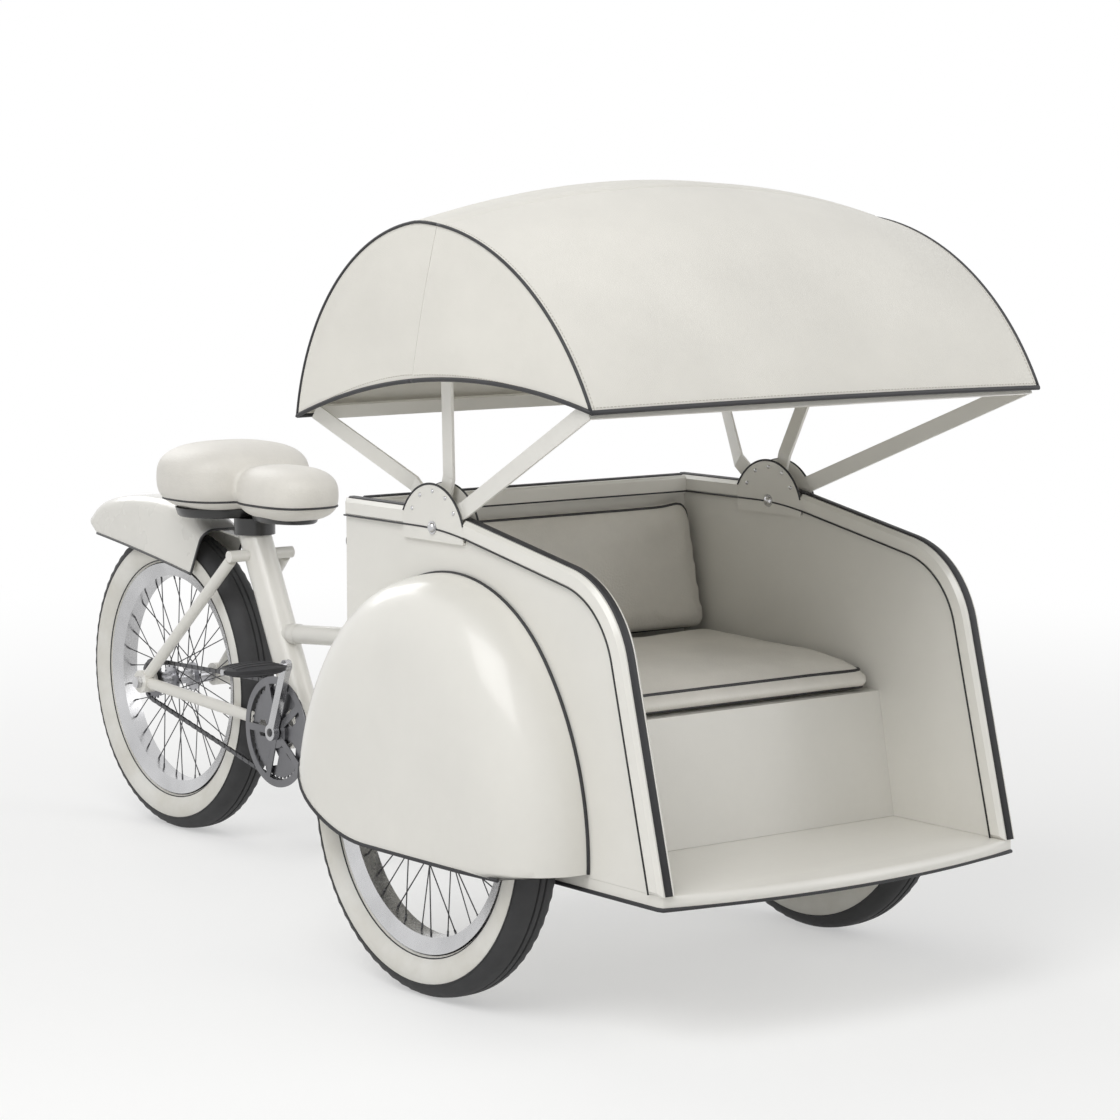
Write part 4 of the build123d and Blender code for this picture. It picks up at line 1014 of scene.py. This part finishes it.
sections = (tyre_section(0.0), tyre_section(tread_groove))
for wheel_name, centre, hub_half, wheel_body, node_name in wheels:
    cx, cy, cz = centre
    # Tyre: every other step of its tread is sunk, and its side faces take the white wall
    points = []
    for i, (c, s) in enumerate(circle(tyre_steps)):
        points += [(cx + a, cy + r * c, cz + r * s) for a, r in sections[i % 2]]
    faces = grid_faces(tyre_steps, len(sections[0]), loop_rows=True, loop_columns=True)
    tyre = mesh_piece(f"tyre_{wheel_name}", points, faces)
    dress(tyre, wheel_body, wheel_rubber, "tyre_rubber", node_name.format("tyre"))
    tyre.data.materials.append(wall_rubber)
    for face in tyre.data.polygons:
        radius = hypot(face.center.y - cy, face.center.z - cz)
        if wall_radii[0] < radius < wall_radii[1] and abs(face.center.x - cx) > wall_inner_x:
            face.material_index = 1
    creased(tyre, 40)
    # Raised lines at the inner and outer edge of the white wall, on each side
    on_tyre = (wheel_body, wheel_rubber, "tyre_rubber")
    for sign in (-1, 1):
        for line_name, line_radius, line_x, line_size in bead_lines:
            line = [(cx + sign * line_x, cy + line_radius * c, cz + line_radius * s) for c, s in circle(96)]
            piece_name = f"tyre_line_{line_name}_{wheel_name}"
            run_strip(piece_name, line, ring(line_size, 6), on_tyre, closed=True, up=(1, 0, 0))
    refinish([node_name.format("rim")], rim_plate)
    # Hub: a turned barrel between two flanges, with a dust cap at each end
    hub = hub_flange + [(hub_half - 0.003, 0.0160), (hub_half - 0.001, 0.0150), (hub_half, 0.0086)]
    barrel = turned(f"hub_{wheel_name}", centre, [(-a, r) for a, r in hub[::-1]] + hub[1:], steps=48)
    dress(barrel, wheel_body, hub_plate, "bare_steel", node_name.format("hub"))
    # Spokes: round wires, crossed three times, with heads at the flange and nipples at the rim
    wires = []
    for i in range(spoke_count):
        side = 1 - 2 * (i % 2)
        pull = 1 - 2 * (i // 2 % 2)
        rim_angle = 2 * pi * i / spoke_count
        hub_angle = rim_angle + pull * spoke_turn
        hub_end = wheel_spot(centre, side * (flange_x + 0.001 * pull), flange_radius, hub_angle)
        rim_end = wheel_spot(centre, side * 0.004, spoke_reach, rim_angle)
        head = (hub_end.x + side * 0.0012, hub_end.y, hub_end.z)
        wires.append(swept("spoke", [hub_end, rim_end], ring(0.00125, 6)))
        wires.append(swept("nipple", [rim_end, rim_end.lerp(hub_end, nipple_share)], ring(0.0021, 6)))
        wires.append(turned("spoke_head", head, dome_profile(0.0026, 0.0016, side, 3), steps=8))
    dress(joined(f"spokes_{wheel_name}", wires), wheel_body, spoke_steel, "spoke_steel")
    # Valve: a black stem that points in from the rim
    stem = [(-a, r) for a, r in valve_stem]
    valve = turned(f"valve_{wheel_name}", (cx, cy - valve_reach, cz), stem, axis="Y", steps=12)
    dress(valve, wheel_body, cap_black, "black_rubber")

# Main frame: round steel tubes, brazed and sprayed ivory, with a short sleeve where each beam meets the
# seat tube and the head. Black bearing cups close the steering head, and the kingpin and the front axle are
# nutted at each end.
frame_enamel = enamel("frame_enamel", shade(ivory, 0.99), roughness=0.28, dust=0.14)
refinish(["main_frame", "rear_stay_left", "rear_stay_right", "steering_head", "front_axle"], frame_enamel)
refinish(["rear_axle"], plated)
cup_black = enamel("bearing_cup_black", (0.022, 0.022, 0.024), roughness=0.3, dust=0.05)
head_y = -0.217
cup_feet, cup_height, cup_radii = (0.3010, 0.5900), 0.0090, (0.0283, 0.0302)
kingpin_profile = [(0, 0.0165), (0.0085, 0.0165), (0.0100, 0.0142), (0.0100, 0.0095), (0.0135, 0.0085)]
kingpin_ends = (((0, head_y, 0.6124), 1), ((0, head_y, 0.2876), -1))
axle_profile = [(0, 0.0128), (0.0088, 0.0128), (0.0098, 0.0112), (0.0098, 0.0070), (0.0122, 0.0060)]
axle_ends = [((side * 0.5131, axle_y, wheel_height), side) for side in (-1, 1)]
crank_y, crank_z = 0.468, 0.300
head_low, head_high = Vector((0, head_y, 0.340)), Vector((0, head_y, 0.560))
crank_shell, beam_end = Vector((0, crank_y, crank_z)), Vector((0, 0.5685, 0.500))
sleeve_radius, sleeve_length, sleeve_sides, from_head = 0.021, 0.030, 40, 0.046


def pin_nuts(name, ends, profile, axis):
    """Six-sided nuts that face outwards at the ends of a pin."""
    nuts = []
    for centre, sign in ends:
        nuts.append(turned("nut", centre, [(sign * a, r) for a, r in profile], axis, steps=6, crisp=20))
    dress(joined(name, nuts), "cabin", plated, "bare_steel")


def sleeve(start, end, place):
    """A brazed sleeve round the tube from start to end, centred at a distance from its start."""
    along = (end - start).normalized()
    aside = along.cross(Vector((1, 0, 0))).normalized()
    over = aside.cross(along)
    points = []
    for shift, grow in ((-0.5, 0.0003), (-0.44, 0.0016), (0.44, 0.0016), (0.5, 0.0003)):
        middle = start + along * (place + shift * sleeve_length)
        points += [middle + (aside * c + over * s) * (sleeve_radius + grow) for c, s in circle(sleeve_sides)]
    return mesh_piece("sleeve", points, grid_faces(4, sleeve_sides, loop_columns=True))


cups = []
for foot in cup_feet:
    narrow, wide = cup_radii
    cup = [(0, narrow), (0.001, wide), (cup_height - 0.001, wide), (cup_height, narrow)]
    cups.append(turned("cup", (0, head_y, foot), cup, axis="Z", steps=40))
dress(joined("steering_cups", cups), "rear_frame", cup_black, "black_metal")
pin_nuts("kingpin_nuts", kingpin_ends, kingpin_profile, "Z")
sleeves = []
for start, end, from_tube in ((head_low, crank_shell, 0.054), (head_high, beam_end, 0.058)):
    sleeves += [sleeve(start, end, place) for place in (from_head, (end - start).length - from_tube)]
dress(joined("frame_sleeves", sleeves), "rear_frame", frame_enamel, "frame_paint")
pin_nuts("front_wheel_nuts", axle_ends, axle_profile, "X")

# Mudguard: a deep pressed shell over the rear wheel with a rounded crown and a blunt, turned-up tail. Its
# edge is rolled over a wire and painted black, and a flat strap bolts it to the seat tube.
guard_half, guard_round, guard_skin, guard_steps = 0.0575, 0.030, 0.0028, 46
guard_marks = [(-0.190, 0.362), (-0.108, 0.395), (-0.020, 0.412), (0.065, 0.417)]
guard_marks += [(0.150, 0.414), (0.230, 0.403), (0.292, 0.384), (0.334, 0.352)]
side_steps, bend_steps, crown_steps, tail_steps = 8, 10, 3, 6
tail_out, tail_reach = Vector((0, 0.70, -0.71)), 0.010
strap_line = [(0, 0.7100, 0.6985), (0, 0.7600, 0.7040), (0, 0.8060, 0.7095), (0, 0.8460, 0.7210)]
strap_section = [(-0.011, -0.0018), (-0.011, 0.0018), (0.011, 0.0018), (0.011, -0.0018)]


def even_points(line, count):
    """The same line as count + 1 points at even distances."""
    lengths = [0.0]
    for a, b in zip(line, line[1:]):
        lengths.append(lengths[-1] + hypot(b[0] - a[0], b[1] - a[1]))
    out = []
    k = 0
    for i in range(count + 1):
        target = lengths[-1] * i / count
        while k < len(line) - 2 and lengths[k + 1] < target:
            k += 1
        share = (target - lengths[k]) / max(1e-9, lengths[k + 1] - lengths[k])
        out.append(tuple(a + (b - a) * share for a, b in zip(line[k], line[k + 1])))
    return out


def smooth_line(marks, steps=40):
    """A smooth line through (y, z) marks, bent evenly from one to the next."""
    line = [marks[0]]
    for i in range(len(marks) - 1):
        before, here = marks[max(i - 1, 0)], marks[i]
        ahead, after = marks[i + 1], marks[min(i + 2, len(marks) - 1)]
        for k in range(1, steps + 1):
            t = k / steps
            spot = []
            for n in (0, 1):
                start_slope, end_slope = (ahead[n] - before[n]) / 2, (after[n] - here[n]) / 2
                spot.append(
                    (2 * t**3 - 3 * t**2 + 1) * here[n]
                    + (t**3 - 2 * t**2 + t) * start_slope
                    + (3 * t**2 - 2 * t**3) * ahead[n]
                    + (t**3 - t**2) * end_slope
                )
            line.append(tuple(spot))
    return line


def guard_side(side, crest, down, depth):
    """Half of the mudguard's section, from its lower edge up its side and in over its crown."""
    drops = [(guard_half, depth + (guard_round - depth) * k / side_steps) for k in range(side_steps + 1)]
    for k in range(1, bend_steps):
        turn_to = pi / 2 * k / bend_steps
        drops.append((guard_half - guard_round * (1 - cos(turn_to)), guard_round * (1 - sin(turn_to))))
    drops += [((guard_half - guard_round) * (1 - k / crown_steps), 0) for k in range(crown_steps)]
    return [Vector((side * x, 0, 0)) + crest + down * drop for x, drop in drops]


guard_top = even_points(smooth_line(guard_marks), guard_steps)
guard_foot = even_points(arc_points((-0.135, 0.258), (0.080, 0.290), (0.285, 0.315), 500), guard_steps)
rows = []
for (top_y, top_z), (foot_y, foot_z) in zip(guard_top, guard_foot):
    depth = hypot(top_y - foot_y, top_z - foot_z)
    down = Vector((0, (foot_y - top_y) / depth, (foot_z - top_z) / depth))
    crest = Vector((0, rear_axle_y + top_y, wheel_height + top_z))
    right, left = (guard_side(side, crest, down, depth) for side in (-1, 1))
    rows.append(right + [crest] + left[::-1])
lips = [[row[0] for row in rows], [row[-1] for row in rows], rows[0]]
tail_row = rows[-1]
tail_heart = sum(tail_row, Vector()) / len(tail_row)
for k in range(1, tail_steps + 1):
    turn_to = pi / 2 * k / tail_steps
    shrink, out = max(0.02, cos(turn_to)), tail_out * tail_reach * sin(turn_to)
    rows.append([tail_heart + (spot - tail_heart) * shrink + out for spot in tail_row])
guard = mesh_piece("mudguard_shell", [p for row in rows for p in row], grid_faces(len(rows), len(rows[0])))
creased(worked(guard, "SOLIDIFY", thickness=guard_skin, offset=-1), 50)
guard_enamel = enamel("mudguard_enamel", ivory, roughness=0.26, dust=0.22)
dress(guard, "rear_frame", guard_enamel, "frame_paint", "mudguard")
guard_roll = joined("mudguard_rolled_edge", [swept("roll", lip, ring(0.0030)) for lip in lips])
dress(guard_roll, "rear_frame", cup_black, "black_metal")
strap = creased(swept("mudguard_strap", strap_line, strap_section), 30)
dress(strap, "rear_frame", frame_enamel, "frame_paint")

# Drive: bright steel cranks, a dark steel chainring and rear sprocket, and a bushed roller chain. The chain
# is laid link by link round both, with its plates alternately inside and outside.
chain_black = bright_metal("chain_steel", colour=(0.13, 0.13, 0.135), roughness=0.32)
ring_steel = bright_metal("ring_steel", colour=(0.20, 0.20, 0.21), roughness=0.3)
crank_plate = bright_metal("crank_plate", colour=(0.52, 0.52, 0.53), roughness=0.25)
refinish(["chainring", "rear_sprocket"], ring_steel)
refinish(["cranks"], crank_plate)
ring_reach, cog_reach = 0.1088, 0.0468
chain_pitch, chain_x = 0.0127, -0.075
plate_round, plate_half, plate_places = 0.0041, 0.0004, (0.0024, 0.0034)
roller_radius, roller_half, pin_radius, pin_half = 0.0036, 0.0020, 0.0016, 0.0040
run = hypot(rear_axle_y - crank_y, wheel_height - crank_z)
tilt = atan2(wheel_height - crank_z, rear_axle_y - crank_y)
lean = atan2(ring_reach - cog_reach, sqrt(run * run - (ring_reach - cog_reach) ** 2))
upper, lower = tilt + pi / 2 - lean, tilt - pi / 2 + lean
points, faces = [], []


def wrap(y, z, reach, start, sweep, steps):
    """Points round a sprocket from a start angle through a sweep."""
    angles = [start + sweep * i / steps for i in range(steps + 1)]
    return [(y + reach * cos(angle), z + reach * sin(angle)) for angle in angles]


def add_prism(outline, middle, half):
    """A flat plate or roller of (y, z) points about an x place, added to the chain's points."""
    start, count = len(points), len(outline)
    for x in (middle - half, middle + half):
        points.extend((x, y, z) for y, z in outline)
    faces.append(tuple(start + i for i in range(count)))
    faces.append(tuple(start + count + i for i in range(count)))
    for i in range(count):
        ahead = (i + 1) % count
        faces.append((start + i, start + ahead, start + count + ahead, start + count + i))


chain_line = wrap(crank_y, crank_z, ring_reach, upper, 2 * pi - (upper - lower), 120)
chain_line += wrap(rear_axle_y, wheel_height, cog_reach, lower, upper - lower, 60)
chain_line.append(chain_line[0])
total = sum(hypot(b[0] - a[0], b[1] - a[1]) for a, b in zip(chain_line, chain_line[1:]))
link_count = 2 * round(total / chain_pitch / 2)
pins = even_points(chain_line, link_count)
for i in range(link_count):
    (y0, z0), (y1, z1) = pins[i], pins[i + 1]
    heading = atan2(z1 - z0, y1 - y0)
    plate = wrap(y1, z1, plate_round, heading - pi / 2, pi, 6)
    plate += wrap(y0, z0, plate_round, heading + pi / 2, pi, 6)
    for side in (-1, 1):
        add_prism(plate, chain_x + side * plate_places[i % 2], plate_half)
    add_prism(wrap(y0, z0, roller_radius, 0, 2 * pi, 8)[:-1], chain_x, roller_half)
    add_prism(wrap(y0, z0, pin_radius, 0, 2 * pi, 6)[:-1], chain_x, pin_half)
links = mesh_piece("chain_links", points, faces, smooth=False)
dress(links, "rear_frame", chain_black, "chain_steel", "chain")
crank_caps = []
for side in (-1, 1):
    cap = [(0, 0.0098)] + dome_profile(0.0092, 0.0035, side, base=0.0006)
    crank_caps.append(turned("crank_cap", (side * 0.0990, crank_y, crank_z), cap, steps=24))
dress(joined("crank_caps", crank_caps), "crank", cup_black, "black_metal")

# Pedals: a rubber pad, thick in the middle and thin at its rim, moulded with ribs on both faces. It turns
# on the steel spindle at the end of its crank.
pedal_rubber = soft_black("pedal_rubber", roughness=0.6)
pedal_places = (("right", -0.179, 0.4089, 0.4540), ("left", 0.179, 0.5271, 0.1460))
pad_half_x, pad_half_y, pad_power = 0.0745, 0.0475, 2.8
pad_rim, pad_crown, crown_power = 0.0045, 0.0095, 2.2
pad_rings, pad_sides = 12, 56
rib_shifts, rib_half, rib_steps, rib_radius = (-0.028, -0.014, 0.0, 0.014, 0.028), 0.058, 16, 0.0016


def pad_rise(share):
    """Half of a pedal pad's thickness at a share of the way out to its rim."""
    return pad_rim + pad_crown * (1 - share**crown_power)


for hand, pedal_x, pedal_y, pedal_z in pedal_places:
    rows = []
    shares = [k / pad_rings for k in range(pad_rings + 1)]
    for face, outwards in ((1, shares), (-1, shares[::-1])):
        for share in outwards:
            row = []
            for c, s in circle(pad_sides):
                far = (abs(c) ** pad_power + abs(s) ** pad_power) ** (-1 / pad_power)
                x, y = pad_half_x * share * far * c, pad_half_y * share * far * s
                row.append((pedal_x + x, pedal_y + y, pedal_z + face * pad_rise(share)))
            rows.append(row)
    pad_faces = grid_faces(len(rows), pad_sides, loop_columns=True)
    pad = creased(mesh_piece(f"pedal_pad_{hand}", [p for row in rows for p in row], pad_faces), 45)
    dress(pad, f"pedal_{hand}", pedal_rubber, "black_rubber", f"pedal_{hand}")
    ribs = []
    for face in (1, -1):
        for shift in rib_shifts:
            line = []
            for k in range(rib_steps + 1):
                x = -rib_half + 2 * rib_half * k / rib_steps
                off = abs(x / pad_half_x) ** pad_power + abs(shift / pad_half_y) ** pad_power
                rise = pad_rise(off ** (1 / pad_power))
                line.append((pedal_x + x, pedal_y + shift, pedal_z + face * rise))
            ribs.append(swept("rib", line, ring(rib_radius, 6)))
    dress(joined(f"pedal_ribs_{hand}", ribs), f"pedal_{hand}", pedal_rubber, "black_rubber")

# Push bar: a bent steel handle behind the tub, plated, on flanged posts with four bolts to a flange. Its
# grips are moulded rubber with ribs all round.
refinish(["push_bar"], plated)
grip_rubber = soft_black("grip_rubber", roughness=0.5)
grip_y, bar_height = -0.231, 0.800
grip_inner = [(0.2402, 0.0128), (0.2402, 0.0162), (0.2440, 0.0165)]
rib_start, rib_pitch, rib_count = 0.2470, 0.0058, 17
rib_profile = [(0, 0.0164), (0.0012, 0.0152), (0.0040, 0.0152), (0.0052, 0.0164)]
grip_outer = [(0.3535, 0.0165), (0.3549, 0.0150), (0.3549, 0.0005)]
flange_y, post_x, bolt_reach = -0.3165, 0.210, 0.0188
grip_ribs = [(rib_start + rib_pitch * k + a, r) for k in range(rib_count) for a, r in rib_profile]
grips, bolts = [], []
for side in (-1, 1):
    profile = [(side * a, r) for a, r in grip_inner + grip_ribs + grip_outer]
    grips.append(turned("grip", (0, grip_y, bar_height), profile, steps=36))
    for angle in (45, 135, 225, 315):
        x, z = bolt_reach * cos(radians(angle)), bolt_reach * sin(radians(angle))
        head = (side * post_x + x, flange_y, bar_height + z)
        bolts.append(turned("bolt", head, dome_profile(0.0034, 0.0024, 1, 4), axis="Y", steps=12))
dress(joined("push_bar_sleeves", grips), "cabin", grip_rubber, "black_rubber", "push_bar_grips")
dress(joined("push_bar_bolts", bolts), "cabin", plated, "bare_steel")

bpy.context.view_layer.update()
